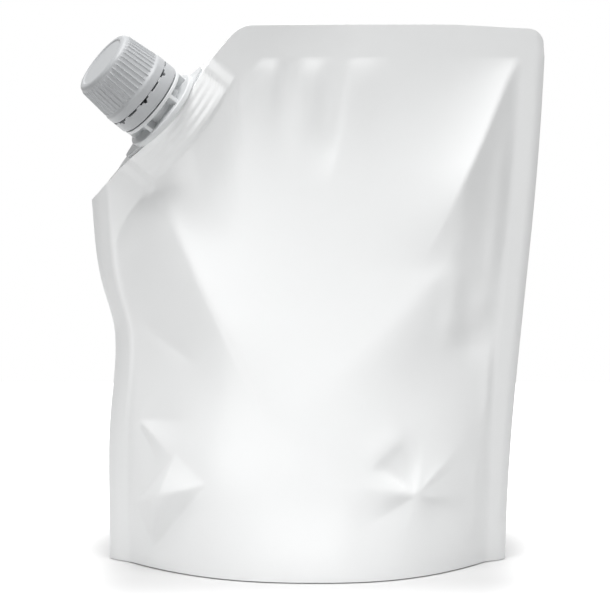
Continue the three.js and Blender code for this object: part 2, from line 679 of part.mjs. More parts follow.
function spoutGeometry() {
  const neck = turned([
    [0, -BOAT_HEIGHT + BOAT_RIB_HEIGHT],
    [neckRadius - THREAD_RADIUS, -BOAT_HEIGHT + BOAT_RIB_HEIGHT],
    [neckRadius - THREAD_RADIUS, EDGE_GAP],
    [lowerFlangeRadius - FLANGE_EDGE, EDGE_GAP],
    [lowerFlangeRadius, EDGE_GAP + FLANGE_EDGE],
    [lowerFlangeRadius, lowerFlangeTop - FLANGE_EDGE],
    [lowerFlangeRadius - FLANGE_EDGE, lowerFlangeTop],
    [neckRadius, lowerFlangeTop],
    [neckRadius, upperFlangeFoot],
    [upperFlangeRadius, upperFlangeFoot],
    [upperFlangeRadius, upperFlangeTop],
    [neckRadius, upperFlangeTop],
    [neckRadius, beadFoot],
    [beadRadius, beadFoot],
    [neckRadius, beadTop],
    [neckRadius, mouth - MOUTH_EDGE],
    [neckRadius - MOUTH_EDGE, mouth],
    [0, mouth],
  ]);
  let solid = toSolid(neck);
  solid = solid.add(toSolid(raised(boatShape(-BOAT_RIB_HEIGHT), -BOAT_HEIGHT, lowerFlangeTop)));
  for (let rib = 0; rib < BOAT_RIBS; rib += 1) {
    const foot = -BOAT_HEIGHT + (rib + 0.25) * ribPitch;
    solid = solid.add(toSolid(raised(boatShape(0), foot, foot + ribPitch / 2)));
  }
  for (let web = 0; web < WEB_COUNT / 2; web += 1) {
    const reach = 2 * (upperFlangeRadius - WEB_INSET);
    const plate = new THREE.BoxGeometry(WEB_THICKNESS, reach, RAIL_SLOT + 2 * WEB_SINK);
    plate.translate(0, 0, (lowerFlangeTop + upperFlangeFoot) / 2);
    plate.rotateZ((web + 0.5) * 2 * Math.PI / WEB_COUNT);
    solid = solid.add(toSolid(plate));
  }
  solid = solid.add(toSolid(threadRidge(neckRadius, collarTop + THREAD_START - COLLAR_HEIGHT)));
  const boreFoot = -BOAT_HEIGHT - CUT_PAST;
  const boreTop = mouth + CUT_PAST;
  const bore = turned([[0, boreFoot], [BORE_RADIUS, boreFoot], [BORE_RADIUS, boreTop], [0, boreTop]]);
  return toGeometry(solid.subtract(toSolid(bore)));
}

// Ribbed outside of the cap: three stations to a rib, the middle one on its crest
function capOutside() {
  const arc = [0, 1, 2].map((i) => {
    const angle = i / 2 * Math.PI / 2;
    const inset = CAP_EDGE_RADIUS * (1 - Math.cos(angle));
    return [capTopRadius - inset, capTop - CAP_EDGE_RADIUS * (1 - Math.sin(angle)), i === 0 ? 1 : 0];
  });
  const profile = [
    [0, capFoot, 0],
    [collarRadius, capFoot, 0],
    [collarRadius, collarTop - COLLAR_EDGE, 0],
    [knurlFootRadius, collarTop, 1],
    ...arc,
    [0, capTop, 0],
  ];
  const offsets = [-KNURL_SHARE, 0, KNURL_SHARE];
  const around = KNURL_COUNT * offsets.length;
  const point = (u, v, target) => {
    const station = Math.round(u * around) % around;
    const part = station % offsets.length;
    const angle = 2 * Math.PI * (Math.floor(station / offsets.length) + offsets[part]) / KNURL_COUNT;
    const [radius, height, ribbed] = profile[Math.round(v * (profile.length - 1))];
    const reach = radius + (part === 1 ? ribbed * KNURL_HEIGHT : 0);
    return target.set(reach * Math.cos(angle), reach * Math.sin(angle), height);
  };
  return new ParametricGeometry(point, around, profile.length - 1);
}

function capGeometry() {
  const ceiling = capTop - CAP_TOP;
  const below = capFoot - CUT_PAST;
  const hollow = turned([[0, below], [capInner, below], [capInner, ceiling], [0, ceiling]]);
  const recessRadius = capTopRadius - FACE_RIM;
  const recess = turned([
    [0, capTop - FACE_RECESS],
    [recessRadius, capTop - FACE_RECESS],
    [recessRadius, capTop + CUT_PAST],
    [0, capTop + CUT_PAST],
  ]);
  const shell = toSolid(capOutside()).subtract(toSolid(hollow)).subtract(toSolid(recess));
  const start = collarTop + THREAD_START - COLLAR_HEIGHT - THREAD_PITCH / 2;
  return toGeometry(shell.add(toSolid(threadRidge(capInner, start))));
}

function bandGeometry() {
  const inner = beadRadius + CLEARANCE;
  const hook = beadRadius - HOOK_GRIP;
  const ring = turned([
    [hook, bandFoot],
    [collarRadius - BAND_EDGE, bandFoot],
    [collarRadius, bandFoot + BAND_EDGE],
    [collarRadius, bandTop],
    [inner, bandTop],
    [inner, hookTop],
    [hook, hookTop],
    [hook, bandFoot],
  ]);
  let solid = toSolid(ring);
  const wall = collarRadius - inner;
  for (let i = 0; i < BRIDGE_COUNT; i += 1) {
    const angle = 2 * Math.PI * i / BRIDGE_COUNT;
    const bridge = new THREE.BoxGeometry(wall / 2, BRIDGE_WIDTH, 2 * BRIDGE_HEIGHT);
    bridge.translate(collarRadius - wall / 2, 0, bandTop).rotateZ(angle);
    solid = solid.add(toSolid(bridge));
    if (i % 2 === 0) {
      const opening = new THREE.BoxGeometry(3 * wall, WINDOW_WIDTH, 2 * WINDOW_HEIGHT);
      opening.translate(collarRadius, 0, bandTop).rotateZ(angle + Math.PI / BRIDGE_COUNT);
      solid = solid.subtract(toSolid(opening));
    }
  }
  return toGeometry(solid);
}

function linerGeometry() {
  const radius = neckRadius + CLEARANCE;
  return turned([[0, linerFoot], [radius, linerFoot], [radius, linerTop], [0, linerTop]]);
}

// The bag has a pocket that the boat sits in, open at the cut edge
function pouchGeometry() {
  const pocket = raised(boatShape(CLEARANCE), -BOAT_HEIGHT - CLEARANCE, EDGE_GAP + 2 * CLEARANCE);
  pocket.applyMatrix4(spoutFrame);
  return toGeometry(toSolid(bagGeometry()).subtract(toSolid(pocket)));
}

function part(name, geometry, color, roughness) {
  const mesh = new THREE.Mesh(geometry, new THREE.MeshStandardMaterial({ color, roughness, metalness: 0 }));
  mesh.name = name;
  return mesh;
}

const spout = new THREE.Group();
spout.applyMatrix4(spoutFrame);
spout.add(part('spout_fitment', spoutGeometry(), NATURAL_PLASTIC, 0.4));
spout.add(part('tamper_band', bandGeometry(), CAP_GREY, 0.45));
spout.add(part('cap_liner', linerGeometry(), FILM_WHITE, 0.7));
spout.add(part('screw_cap', capGeometry(), CAP_GREY, 0.45));

const pouch = new THREE.Group();
pouch.add(part('pouch_bag', pouchGeometry(), FILM_WHITE, 0.35));
pouch.add(spout);

export default pouch;
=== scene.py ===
# %% [markdown]
# # A spout pouch, built as a lesson in surfaces
# A filled refill pouch: white laminate film, a boat-shaped spout welded into a cut corner, and a
# ribbed screw cap. Every visible piece here is worked out with numpy as a surface of two
# parameters, and then handed to Blender in one go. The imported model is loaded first, because it
# fixes where each piece sits and what it moves with.

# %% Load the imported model
import json
import math

import bpy
import numpy as np
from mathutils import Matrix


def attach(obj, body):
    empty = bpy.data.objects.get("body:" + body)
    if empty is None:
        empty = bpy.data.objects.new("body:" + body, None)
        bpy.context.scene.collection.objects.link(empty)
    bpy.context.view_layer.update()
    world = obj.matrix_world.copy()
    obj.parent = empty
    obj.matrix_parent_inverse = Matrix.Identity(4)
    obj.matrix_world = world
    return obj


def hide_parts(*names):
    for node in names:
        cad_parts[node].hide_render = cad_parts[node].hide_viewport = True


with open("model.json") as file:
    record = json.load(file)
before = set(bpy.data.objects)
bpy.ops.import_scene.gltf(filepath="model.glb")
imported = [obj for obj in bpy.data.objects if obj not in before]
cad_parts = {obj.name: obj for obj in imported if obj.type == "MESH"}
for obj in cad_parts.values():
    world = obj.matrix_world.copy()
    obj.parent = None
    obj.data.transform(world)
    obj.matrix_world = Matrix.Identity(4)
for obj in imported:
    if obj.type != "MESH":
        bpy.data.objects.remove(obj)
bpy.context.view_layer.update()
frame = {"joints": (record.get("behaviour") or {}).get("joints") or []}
MM = 0.001

# %% [markdown]
# ## From a grid of points to a mesh
# A sheet is a table of points: rows by columns. Two triangles fill each cell. Where sheets meet,
# or where a row shrinks to a point, several table entries share one place, so the points are
# welded and the triangles that collapsed are dropped. That could be done with Merge by Distance,
# but with numpy it is one call on whole arrays, and the result is the same on every run.


# %% Mesh helpers
def grid_triangles(rows, columns):
    """Two triangles for every cell of a rows x columns table of points, counted row by row."""
    corner = (np.arange(rows - 1)[:, None] * columns + np.arange(columns - 1)).ravel()
    right, up, across = corner + 1, corner + columns, corner + columns + 1
    first = np.stack([corner, right, across], axis=1)
    second = np.stack([corner, across, up], axis=1)
    return np.concatenate([first, second])


def welded(sheets, grain=1e-7):
    """Joins sheets of points (rows, columns, 3): points closer than grain become one."""
    starts = np.cumsum([0] + [s.shape[0] * s.shape[1] for s in sheets[:-1]])
    faces = [grid_triangles(*s.shape[:2]) + start for s, start in zip(sheets, starts)]
    points = np.concatenate([s.reshape(-1, 3) for s in sheets])
    keys = np.round(points / grain).astype(np.int64)
    _, first, same = np.unique(keys, axis=0, return_index=True, return_inverse=True)
    triangles = same.reshape(-1)[np.concatenate(faces)]
    a, b, c = triangles.T
    return points[first], triangles[(a != b) & (b != c) & (c != a)]


def new_piece(name, points, triangles, sharp_degrees=35):
    """A mesh object at the origin with those points, shaded smooth across gentle edges."""
    mesh = bpy.data.meshes.new(name)
    mesh.vertices.add(len(points))
    mesh.vertices.foreach_set("co", np.asarray(points, dtype=np.float32).ravel())
    mesh.loops.add(triangles.size)
    mesh.loops.foreach_set("vertex_index", triangles.ravel().astype(np.int32))
    mesh.polygons.add(len(triangles))
    mesh.polygons.foreach_set("loop_start", np.arange(0, triangles.size, 3, dtype=np.int32))
    mesh.update(calc_edges=True)
    mesh.validate()
    mesh.shade_smooth()
    mesh.set_sharp_from_angle(angle=math.radians(sharp_degrees))
    piece = bpy.data.objects.new(name, mesh)
    bpy.context.scene.collection.objects.link(piece)
    return piece


# %% [markdown]
# ## Soft corners
# Film and moulded plastic have no perfectly sharp corners. Where two surfaces cross, the crossing
# is rounded by a soft minimum or maximum. A Bevel modifier could round the finished mesh, but a
# formula rounds every crossing in the same way, wherever a changed size moves it.


# %% Smooth helpers
def smoothstep(x, low, high):
    """0 below low, 1 above high, and 3t^2 - 2t^3 between them."""
    t = np.clip((x - low) / (high - low), 0, 1)
    return t * t * (3 - 2 * t)


def soft_min(a, b, rounding):
    """The lower of two surfaces, with their crossing rounded off over that height."""
    overlap = np.maximum(rounding - np.abs(a - b), 0) / rounding
    return np.minimum(a, b) - overlap**2 * rounding / 4


def soft_max(a, b, rounding):
    """The higher of two surfaces, rounded in the same way."""
    return -soft_min(-a, -b, rounding)


def bell(distance, spread):
    """1 in the middle, falling as exp(-d^2 / 2 s^2)."""
    return np.exp(-(distance**2) / (2 * spread**2))


# %% [markdown]
# ## The outline of the filled bag
# The film was cut flat, 170 mm wide. It does not stretch: where the filled panels rise as flanks,
# they use up width, so the side welds are drawn in towards the floor. That one rule gives the
# lean of both sides. The left weld is also nipped in at mid height, as a bag is after handling. A
# Cloth simulation with pressure would find such an outline, but not this bag's own.

# %% Bag outline
BAG_WIDTH, BAG_HEIGHT, BAG_DEPTH = 170, 200, 68
SIDE_SEAL, TOP_SEAL, CUT_SEAL = 8, 12, 12.5
SEAL_THICKNESS = 0.5
CUT_WIDTH, CUT_HEIGHT = 61.2, 64
CUT_CORNER_BLEND, TOP_CORNER_RADIUS = 5, 5
TOP_DROOP, TOP_DROOP_WIDTH = 1.5, 36
PULL_IN, FILL_RISE, FILL_EASE = 0.33, 1.4, 2
HALF_BAG, SEAL_LINE, CUT_FOOT = BAG_WIDTH / 2, BAG_HEIGHT - TOP_SEAL, BAG_HEIGHT - CUT_HEIGHT
LEFT_NIP, LEFT_NIP_HEIGHT = 4.9, 85
LEFT_NIP_UP, LEFT_NIP_DOWN = 12.5, 20
LEFT_SHOULDER, LEFT_SHOULDER_HEIGHT, LEFT_SHOULDER_SPREAD = 0.9, 145, 16
RIGHT_BOW, RIGHT_BOW_SKEW = 3.4, 1.61


def fill_share(z):
    """How full the bag is at height z: a parabola, full at the floor and empty at the top weld."""
    return np.maximum(1 - (z / SEAL_LINE) ** 2, 0)


def fill_depth(z):
    """Half the bag's depth: an S-shaped curve that leaves the top weld flat."""
    level = np.clip(z / SEAL_LINE, 0, 1)
    return BAG_DEPTH / 2 * (1 - level**FILL_RISE) ** FILL_EASE


def half_width(z):
    """Half the flat width, less what the flanks take up."""
    return HALF_BAG * (1 - PULL_IN * BAG_DEPTH / BAG_WIDTH * fill_share(z))


def left_nip(z):
    """Bell curve of the nip, wider below its middle than above."""
    return bell(z - LEFT_NIP_HEIGHT, np.where(z > LEFT_NIP_HEIGHT, LEFT_NIP_UP, LEFT_NIP_DOWN))


def left_edge(z):
    """Outer edge of the left weld, with the nip and a slight shoulder under the cut."""
    shoulder = LEFT_SHOULDER * bell(z - LEFT_SHOULDER_HEIGHT, LEFT_SHOULDER_SPREAD)
    return LEFT_NIP * left_nip(z) + shoulder - half_width(z)


def right_edge(z):
    """Outer edge of the right weld, bowed out by a skewed half sine."""
    share = np.clip(z / BAG_HEIGHT, 0, 1)
    return half_width(z) + RIGHT_BOW * np.sin(np.pi * share**RIGHT_BOW_SKEW)


# %% [markdown]
# ## Turned welds
# Both side welds are turned to the back by an angle, so they show narrower than they are. The
# film between them is spread evenly over the width that is left.

# %% Turned welds
LEFT_TURN, LEFT_TURN_NIP, LEFT_TURN_SPREAD = math.radians(32), math.radians(46), 38
RIGHT_TURN = math.radians(26)


def left_turn(z):
    """Angle by which the left weld is turned to the back: most at the nip."""
    return LEFT_TURN + (LEFT_TURN_NIP - LEFT_TURN) * bell(z - LEFT_NIP_HEIGHT, LEFT_TURN_SPREAD)


def right_turn(z):
    """Angle by which the right weld is turned to the back: none at the top, most at the floor."""
    return RIGHT_TURN * (1 - smoothstep(z, 0, BAG_HEIGHT))


def left_weld(z):
    """Inner edge of the left weld, which shows narrower where it is turned."""
    return left_edge(z) + SIDE_SEAL * np.cos(left_turn(z))


def right_weld(z):
    """Inner edge of the right weld."""
    return right_edge(z) - SIDE_SEAL * np.cos(right_turn(z))


def film_x(flat_x, z):
    """Where a point of the flat film lies across the bag at height z: welds keep their width."""
    from_left, from_right = flat_x + HALF_BAG, HALF_BAG - flat_x
    share = (from_left - SIDE_SEAL) / (BAG_WIDTH - 2 * SIDE_SEAL)
    middle = left_weld(z) + share * (right_weld(z) - left_weld(z))
    in_left = left_edge(z) + from_left * np.cos(left_turn(z))
    in_right = right_edge(z) - from_right * np.cos(right_turn(z))
    x = np.where(from_left < SIDE_SEAL, in_left, middle)
    return np.where(from_right < SIDE_SEAL, in_right, x)


print("side edges at the floor:", left_edge(np.zeros(1)).round(1), right_edge(np.zeros(1)).round(1))

# %% [markdown]
# ## The cut corner
# A straight cut runs from the left edge up to the top edge, and the spout is welded into its
# middle. Distances into the bag from that cut, and along it, are all the spout needs to know. A
# Boolean could cut the corner off, but rows of points that end on the cut leave a cleaner edge.

# %% Cut corner
cut_low = np.array([left_edge(np.float64(CUT_FOOT)), CUT_FOOT])
cut_top_x = film_x(np.float64(CUT_WIDTH - HALF_BAG), np.float64(BAG_HEIGHT))
cut_high = np.array([cut_top_x, BAG_HEIGHT])
cut_along = (cut_high - cut_low) / np.linalg.norm(cut_high - cut_low)
cut_inward = np.array([cut_along[1], -cut_along[0]])
cut_middle = (cut_low + cut_high) / 2
CUT_ROUNDS = 12


def inward_from_cut(x, z):
    """Distance into the bag from the cut edge."""
    return (x - cut_middle[0]) * cut_inward[0] + (z - cut_middle[1]) * cut_inward[1]


def along_cut(x, z):
    """Distance along the cut edge from the spout's axis."""
    return (x - cut_middle[0]) * cut_along[0] + (z - cut_middle[1]) * cut_along[1]


def cut_height(flat_x, inset):
    """Height where a film column meets the line that lies inset inside the cut, by iteration."""
    slope, drop = cut_along[1] / cut_along[0], inset / cut_along[0]
    z = np.full_like(flat_x, BAG_HEIGHT)
    for _ in range(CUT_ROUNDS):
        across = film_x(flat_x, np.minimum(z, BAG_HEIGHT)) - cut_middle[0]
        z = cut_middle[1] - drop + across * slope
    return z


def top_edge(flat_x):
    """Upper edge of the film: the cut, the top, which droops to the right, and its round corner."""
    droop = TOP_DROOP * smoothstep(flat_x, HALF_BAG - TOP_DROOP_WIDTH, HALF_BAG)
    plain = soft_min(cut_height(flat_x, 0), BAG_HEIGHT, CUT_CORNER_BLEND) - droop
    into = np.clip(flat_x - (HALF_BAG - TOP_CORNER_RADIUS), 0, TOP_CORNER_RADIUS)
    return plain - (TOP_CORNER_RADIUS - np.sqrt(TOP_CORNER_RADIUS**2 - into**2))


def seal_edge(flat_x):
    """Lower edge of the weld that follows the cut and the top."""
    return soft_min(cut_height(flat_x, CUT_SEAL), SEAL_LINE, CUT_CORNER_BLEND)


print("cut edge from", cut_low.round(1), "to", cut_high.round(1))

# %% [markdown]
# ## The middle surface
# Halfway between the panels lies a surface that is flat over most of the bag. The spout leans the
# cut corner to the front, and the side welds turn to the back and curl a little at their edges.
# The two panels are offset from it along its normal, as a Solidify modifier would do, but with a
# thickness that changes from place to place.

# %% Middle surface
SPOUT_TILT = math.radians(14)
TILT_START, TILT_END = 10, 32
EDGE_CURL, CURL_WIDTH = 0.4, 3.2


def corner_lean(x, z):
    """How far the cut corner leans to the front: straight at the spout, then easing out."""
    inward = inward_from_cut(x, z)
    bend = np.maximum(TILT_END - np.maximum(inward, TILT_START), 0)
    straight = np.maximum(TILT_START - inward, 0)
    return math.tan(SPOUT_TILT) * (bend**2 / (2 * (TILT_END - TILT_START)) + straight)


def middle_y(x, z):
    """Middle surface: turned welds and their curl to the back, corner lean to the front."""
    past_left = np.maximum(left_weld(z) - x, 0)
    past_right = np.maximum(x - right_weld(z), 0)
    turn = np.tan(left_turn(z)) * past_left + np.tan(right_turn(z)) * past_right
    curl_left = np.maximum(left_edge(z) + CURL_WIDTH - x, 0)
    curl_right = np.maximum(x - right_edge(z) + CURL_WIDTH, 0)
    curl = EDGE_CURL * (curl_left**2 + curl_right**2) / CURL_WIDTH
    return curl + turn - corner_lean(x, z)


def middle_normal(x, z, step=0.05):
    """Unit normal towards the front, from the slopes of the middle surface."""
    slope_x = (middle_y(x + step, z) - middle_y(x - step, z)) / (2 * step)
    slope_z = (middle_y(x, z + step) - middle_y(x, z - step)) / (2 * step)
    normal = np.stack([slope_x, -np.ones_like(slope_x), slope_z], axis=-1)
    return normal / np.linalg.norm(normal, axis=-1, keepdims=True)


# %% [markdown]
# ## Film over the weld base
# The spout ends in a boat: a canoe-shaped block with ribs, welded between the panels. The film
# lies tight over it and shows the ribs, then steps down at its inner end and runs on into the
# bag as a long tail that leans to the left. Shrinkwrap could press the film on the boat; here
# both are worked out from the same canoe outline, so they fit at any size.

# %% Boat under the film
BOAT_LENGTH, BOAT_HEIGHT, BOAT_HALF, BOAT_TIP = 42, 10.5, 9.6, 1.6
BOAT_FULLNESS, BOAT_RIBS, BOAT_RIB_HEIGHT = 1, 4, 0.5
BOAT_COVER, BOAT_LAP, BOAT_RUNOUT = 2.5, 0.9, 6
BOAT_STEP, BOAT_STEP_LENGTH, BOAT_TAIL, BOAT_LEAN = 0.12, 2, 70, 0.8


def boat_hull(along):
    """Half thickness of the boat: a canoe, (1 - s^2) to a power, with blunt tips."""
    share = np.clip(2 * np.abs(along) / BOAT_LENGTH, 0, 1)
    return BOAT_TIP + (BOAT_HALF - BOAT_TIP) * (1 - share**2) ** BOAT_FULLNESS


def boat_swell(along, inward):
    """Height of the film over the boat: hull and cover, ribs in the weld, step and tail inside."""
    past = np.maximum(inward - BOAT_HEIGHT, 0)
    leaning = along + BOAT_LEAN * past
    beyond = np.maximum(np.abs(leaning) - BOAT_LENGTH / 2 - BOAT_LAP, 0)
    cover = BOAT_COVER * (1 - smoothstep(beyond, 0, BOAT_RUNOUT))
    step = BOAT_STEP * smoothstep(past, 0, BOAT_STEP_LENGTH)
    tail = 1 - smoothstep(past, 0, BOAT_TAIL)
    hull = boat_hull(leaning) - BOAT_TIP
    wave = (1 - np.cos(2 * np.pi * inward * BOAT_RIBS / BOAT_HEIGHT)) / 2
    ribs = np.where(past > 0, 0, hull / BOAT_HALF * BOAT_RIB_HEIGHT * wave)
    return (hull + cover) * (1 - step) * tail + ribs


# %% [markdown]
# ## Folds along a line
# Film buckles in a few ways. Rounded folds, and sharp creases where two facets meet, run along a
# line. Cloth simulation makes such folds, but not in chosen places. Here each kind is a small
# formula with a place and a size in millimetres.

# %% Folds along a line
CREST_RADIUS = 0.7
FOLD_FADES_IN, FOLD_FADES_OUT = (-0.15, 0.3), (0.7, 1.15)


def along_line(x, z, start, end):
    """How much of a line is reached, and the distance from it: over 0 on the left of its run."""
    run = np.subtract(end, start)
    length = math.hypot(*run)
    along = ((x - start[0]) * run[0] + (z - start[1]) * run[1]) / length**2
    side = ((z - start[1]) * run[0] - (x - start[0]) * run[1]) / length
    ends = smoothstep(along, *FOLD_FADES_IN) * (1 - smoothstep(along, *FOLD_FADES_OUT))
    return ends, side


def soft_fold(x, z, start, end, height, spread_left, spread_right):
    """A rounded ridge or valley: a bell across the line, fading at both ends."""
    ends, side = along_line(x, z, start, end)
    return height * ends * bell(side, np.where(side < 0, spread_left, spread_right))


def ridge(x, z, start, end, height, spread_left, spread_right):
    """A crest along an endless line: it falls as exp(-d / s) from a crest of small radius."""
    _, side = along_line(x, z, start, end)
    away = np.hypot(side, CREST_RADIUS) - CREST_RADIUS
    return height * np.exp(-away / np.where(side < 0, spread_left, spread_right))


def crease(x, z, start, end, *sizes):
    """A sharp ridge or valley: the same crest, but fading at both ends of its line."""
    ends, _ = along_line(x, z, start, end)
    return ends * ridge(x, z, start, end, *sizes)


# %% [markdown]
# ## Folds about a point
# The other kinds are soft dents, low pyramids with flat facets, and pinches, where creases ray out
# of one point like a crumpled cone.


# %% Folds about a point
def dent(x, z, at, height, spread_x, spread_z):
    """A soft dent or bump: a bell in both directions."""
    return height * bell(x - at[0], spread_x) * bell(z - at[1], spread_z)


def peak(x, z, at, corners, height):
    """A low pyramid: over each facet the rise follows t = 1 - a - b, where a and b count how far
    the point lies from the peak towards the facet's two corners, half straight and half eased."""
    level = np.zeros_like(x)
    for start, end in zip(corners, corners[1:] + corners[:1]):
        sides = np.array([np.subtract(start, at), np.subtract(end, at)]).T
        a, b = np.einsum("ij,j...->i...", np.linalg.inv(sides), np.stack([x - at[0], z - at[1]]))
        inside = (a >= 0) & (b >= 0)
        level = np.where(inside, np.maximum(1 - a - b, 0), level)
    return height * (level + smoothstep(level, 0, 1)) / 2


def pinch(x, z, at, rays, height, spread):
    """A crumpled cone: its height runs straight from ray to ray, and outwards it follows
    u exp((1 - u^2) / 2) with u = r / s, nearly straight up to the spread and then fading."""
    far = np.hypot(np.hypot(x - at[0], z - at[1]), CREST_RADIUS) - CREST_RADIUS
    angle = np.degrees(np.arctan2(z - at[1], x - at[0]))
    degrees, shares = zip(*rays)
    cone = np.interp(angle, degrees, shares, period=360)
    return height * cone * (far / spread) * np.exp((1 - (far / spread) ** 2) / 2)


# %% [markdown]
# ## Where the front panel is folded
# The filled film hangs in rolls from the top weld, where it was gathered. Lower down it is pinched
# in two stars above the base, has a flat bright facet near the left weld and small dents down both
# sides. Sculpting by hand could do the same, but a list of folds can be read, checked and moved.

# %% Folds of the front panel
HUNG_RISE, HUNG_LENGTH = 3.5, 15


def hung(x, z, at, height, spread):
    """A roll or hollow under the top weld: a bell across, rising and then fading downwards."""
    below = np.maximum(SEAL_LINE - z, 0)
    down = (1 - np.exp(-below / HUNG_RISE)) * bell(below, HUNG_LENGTH)
    return height * bell(x - at, spread) * down


def all_folds(x, z, panel):
    """The sum of all folds of a panel."""
    return sum(kind(x, z, *fold) for kind, folds in panel for fold in folds)


# Rays of a star: direction in degrees and share of the height
STAR_RAYS = (
    (0, 0), (30, 0), (45, 0.35), (60, 0), (80, -0.3), (100, -1.2), (138, -1.2), (152, 0),
    (168, 0.5), (185, 0.1), (207, -0.5), (255, 0), (285, 0), (312, -0.9), (328, -0.7), (350, 0),
)
SIDE_STAR_RAYS = ((-90, 0), (-62, -0.3), (-42, 0.8), (5, -0.8), (60, 0))
FACET_CORNERS = ((-37, 34.5), (-48.5, 44.5), (-64, 24), (-57, 8))
FRONT_PANEL = (
    # Place across, height, spread
    (hung, ((-14, 2.3, 4), (-7, -2.4, 2.3), (2, 2, 4.3), (20, 1.4, 5))),
    # Start, end, height, spread on either side
    (soft_fold, (
        ((14, 192), (7, 148), -1.6, 5, 1.6), ((72, 160), (67, 104), 0.9, 2.2, 2.2),
        ((54, 112), (52, 84), 1.4, 3, 3), ((-44, 28), (-55, 6), -1.3, 3, 3),
        ((22, 41), (34, 51), 0.9, 2, 4),
    )),
    (crease, (
        ((67, 82), (66, 54), 0.9, 2.5, 2), ((62, 40), (62, 12), 1, 3, 2),
        ((-61, 91), (-42, 78), -1.4, 4, 5),
    )),
    # Place, height, spread across and up: by the welds, then three broad ones in the belly
    (dent, (
        ((-47, 152), -1.6, 3.5, 4.5), ((-66, 137), 1, 3, 4), ((-67, 125), 0.8, 3, 4.5),
        ((60, 85), -1.5, 4, 5), ((64, 98), 0.8, 3, 4),
        ((-8, 45), 2.6, 34, 20), ((-38, 48), 2, 14, 20), ((6, 28), -1.8, 20, 13),
    )),
    # Place, rays, height, spread
    (pinch, (((39.6, 30), STAR_RAYS, 1.8, 9), ((-63, 55), SIDE_STAR_RAYS, 1.4, 8))),
    # Place, corners, height
    (peak, (((-55, 29), FACET_CORNERS, 5),)),
)
print("folds of the front panel:", sum(len(folds) for _, folds in FRONT_PANEL))

# %% [markdown]
# ## Where the back panel is folded
# The other panel hangs from the same weld and buckles above the same base, but film never folds
# twice alike. It has fewer folds of its own, made with the same formulas.

# %% Folds of the back panel
BACK_STAR_RAYS = (
    (0, 0.5), (40, -0.6), (100, 0.4), (150, -1), (200, 0.5), (250, -0.7), (310, 0.3),
)
BACK_PANEL = (
    (hung, ((-4, 1.2, 5), (8, -1.3, 3), (24, 1.1, 5))),
    (dent, (((-8, 45), 2.2, 34, 20), ((-42, 28), -2.6, 9, 6))),
    (pinch, (((42, 34), BACK_STAR_RAYS, 1.6, 6),)),
)
print("folds of the back panel:", sum(len(folds) for _, folds in BACK_PANEL))

# %% [markdown]
# ## Flanks and ridges
# Each weld lets its panel rise as a flank, like a tent, and the contents reach a depth that the
# film can't pass. Two ridges run down from the upper corners, and above the base the section is
# one round curve. Modelling the facets by hand as polygons could do it too, but each change would
# start again.

# %% Flanks and ridges
LEFT_STEEP, LEFT_STEEP_HEIGHT, LEFT_STEEP_DOWN, LEFT_STEEP_UP = 0.64, 84, 24, 32
LEFT_SLOPE_FOOT, LEFT_SLOPE_TOP = 0.55, 0.45
RIGHT_SLOPE_FOOT, RIGHT_SLOPE_TOP, RIGHT_STEEPER_FROM, RIGHT_STEEPER_TO = 0.42, 0.72, 100, 165
SEAL_FILLET = 1.4
FOOT_CREST, FOOT_FLATNESS = 4, 2.4
LEFT_RIDGE, LEFT_RIDGE_HEIGHT, LEFT_RIDGE_SPREAD = ((-59, 146), (-27, 81)), 8.3, 16
RIGHT_RIDGE, RIGHT_RIDGE_HEIGHT, RIGHT_RIDGE_SPREAD = ((92, 214), (50, 129)), 9.5, 9
LEFT_RIDGE_TOP, LEFT_RIDGE_FULL, LEFT_RIDGE_FOOT = 175, 105, 10
RIGHT_RIDGE_START, RIGHT_RIDGE_FULL, RIGHT_RIDGE_FOOT = 20, 150, 110


def flank(distance, slope):
    """A tent side with a small hollow fillet where it leaves its weld."""
    return slope * (np.hypot(np.maximum(distance, 0), SEAL_FILLET) - SEAL_FILLET)


def left_slope(z):
    """Slope of the left flank: steepest at mid height."""
    low = z < LEFT_STEEP_HEIGHT
    rest = np.where(low, LEFT_SLOPE_FOOT, LEFT_SLOPE_TOP)
    spread = np.where(low, LEFT_STEEP_DOWN, LEFT_STEEP_UP)
    return rest + (LEFT_STEEP - rest) * bell(z - LEFT_STEEP_HEIGHT, spread)


def right_slope(z):
    """Slope of the right flank: steeper towards the top."""
    steeper = smoothstep(z, RIGHT_STEEPER_FROM, RIGHT_STEEPER_TO)
    return RIGHT_SLOPE_FOOT + (RIGHT_SLOPE_TOP - RIGHT_SLOPE_FOOT) * steeper


def ridges(x, z):
    """Two ridges that run down from the upper corners, grow, and run out in the belly."""
    left = ridge(x, z, *LEFT_RIDGE, LEFT_RIDGE_HEIGHT, HALF_BAG, LEFT_RIDGE_SPREAD)
    left *= smoothstep(-z, -LEFT_RIDGE_TOP, -LEFT_RIDGE_FULL)
    left *= smoothstep(z, LEFT_RIDGE_FOOT, LEFT_RIDGE_FULL)
    right = ridge(x, z, *RIGHT_RIDGE, RIGHT_RIDGE_HEIGHT, RIGHT_RIDGE_SPREAD, HALF_BAG)
    right *= 1 - np.exp(-np.maximum(SEAL_LINE - z, 0) / RIGHT_RIDGE_START)
    right *= smoothstep(z, RIGHT_RIDGE_FOOT, RIGHT_RIDGE_FULL)
    return left + right


def foot_bulge(x, z):
    """The round section above the base: 1 - s^p from weld to weld, with its crest off centre."""
    reach = np.where(x < FOOT_CREST, FOOT_CREST - left_weld(z), right_weld(z) - FOOT_CREST)
    return fill_depth(z) * np.maximum(1 - np.abs((x - FOOT_CREST) / reach) ** FOOT_FLATNESS, 0)


# %% [markdown]
# ## How far each panel swells
# The lowest of the tents and of the filled depth is the film. Rounding their crossings gives the
# hips between the facets. The folds are added on top, and the boat shows where it stands higher.

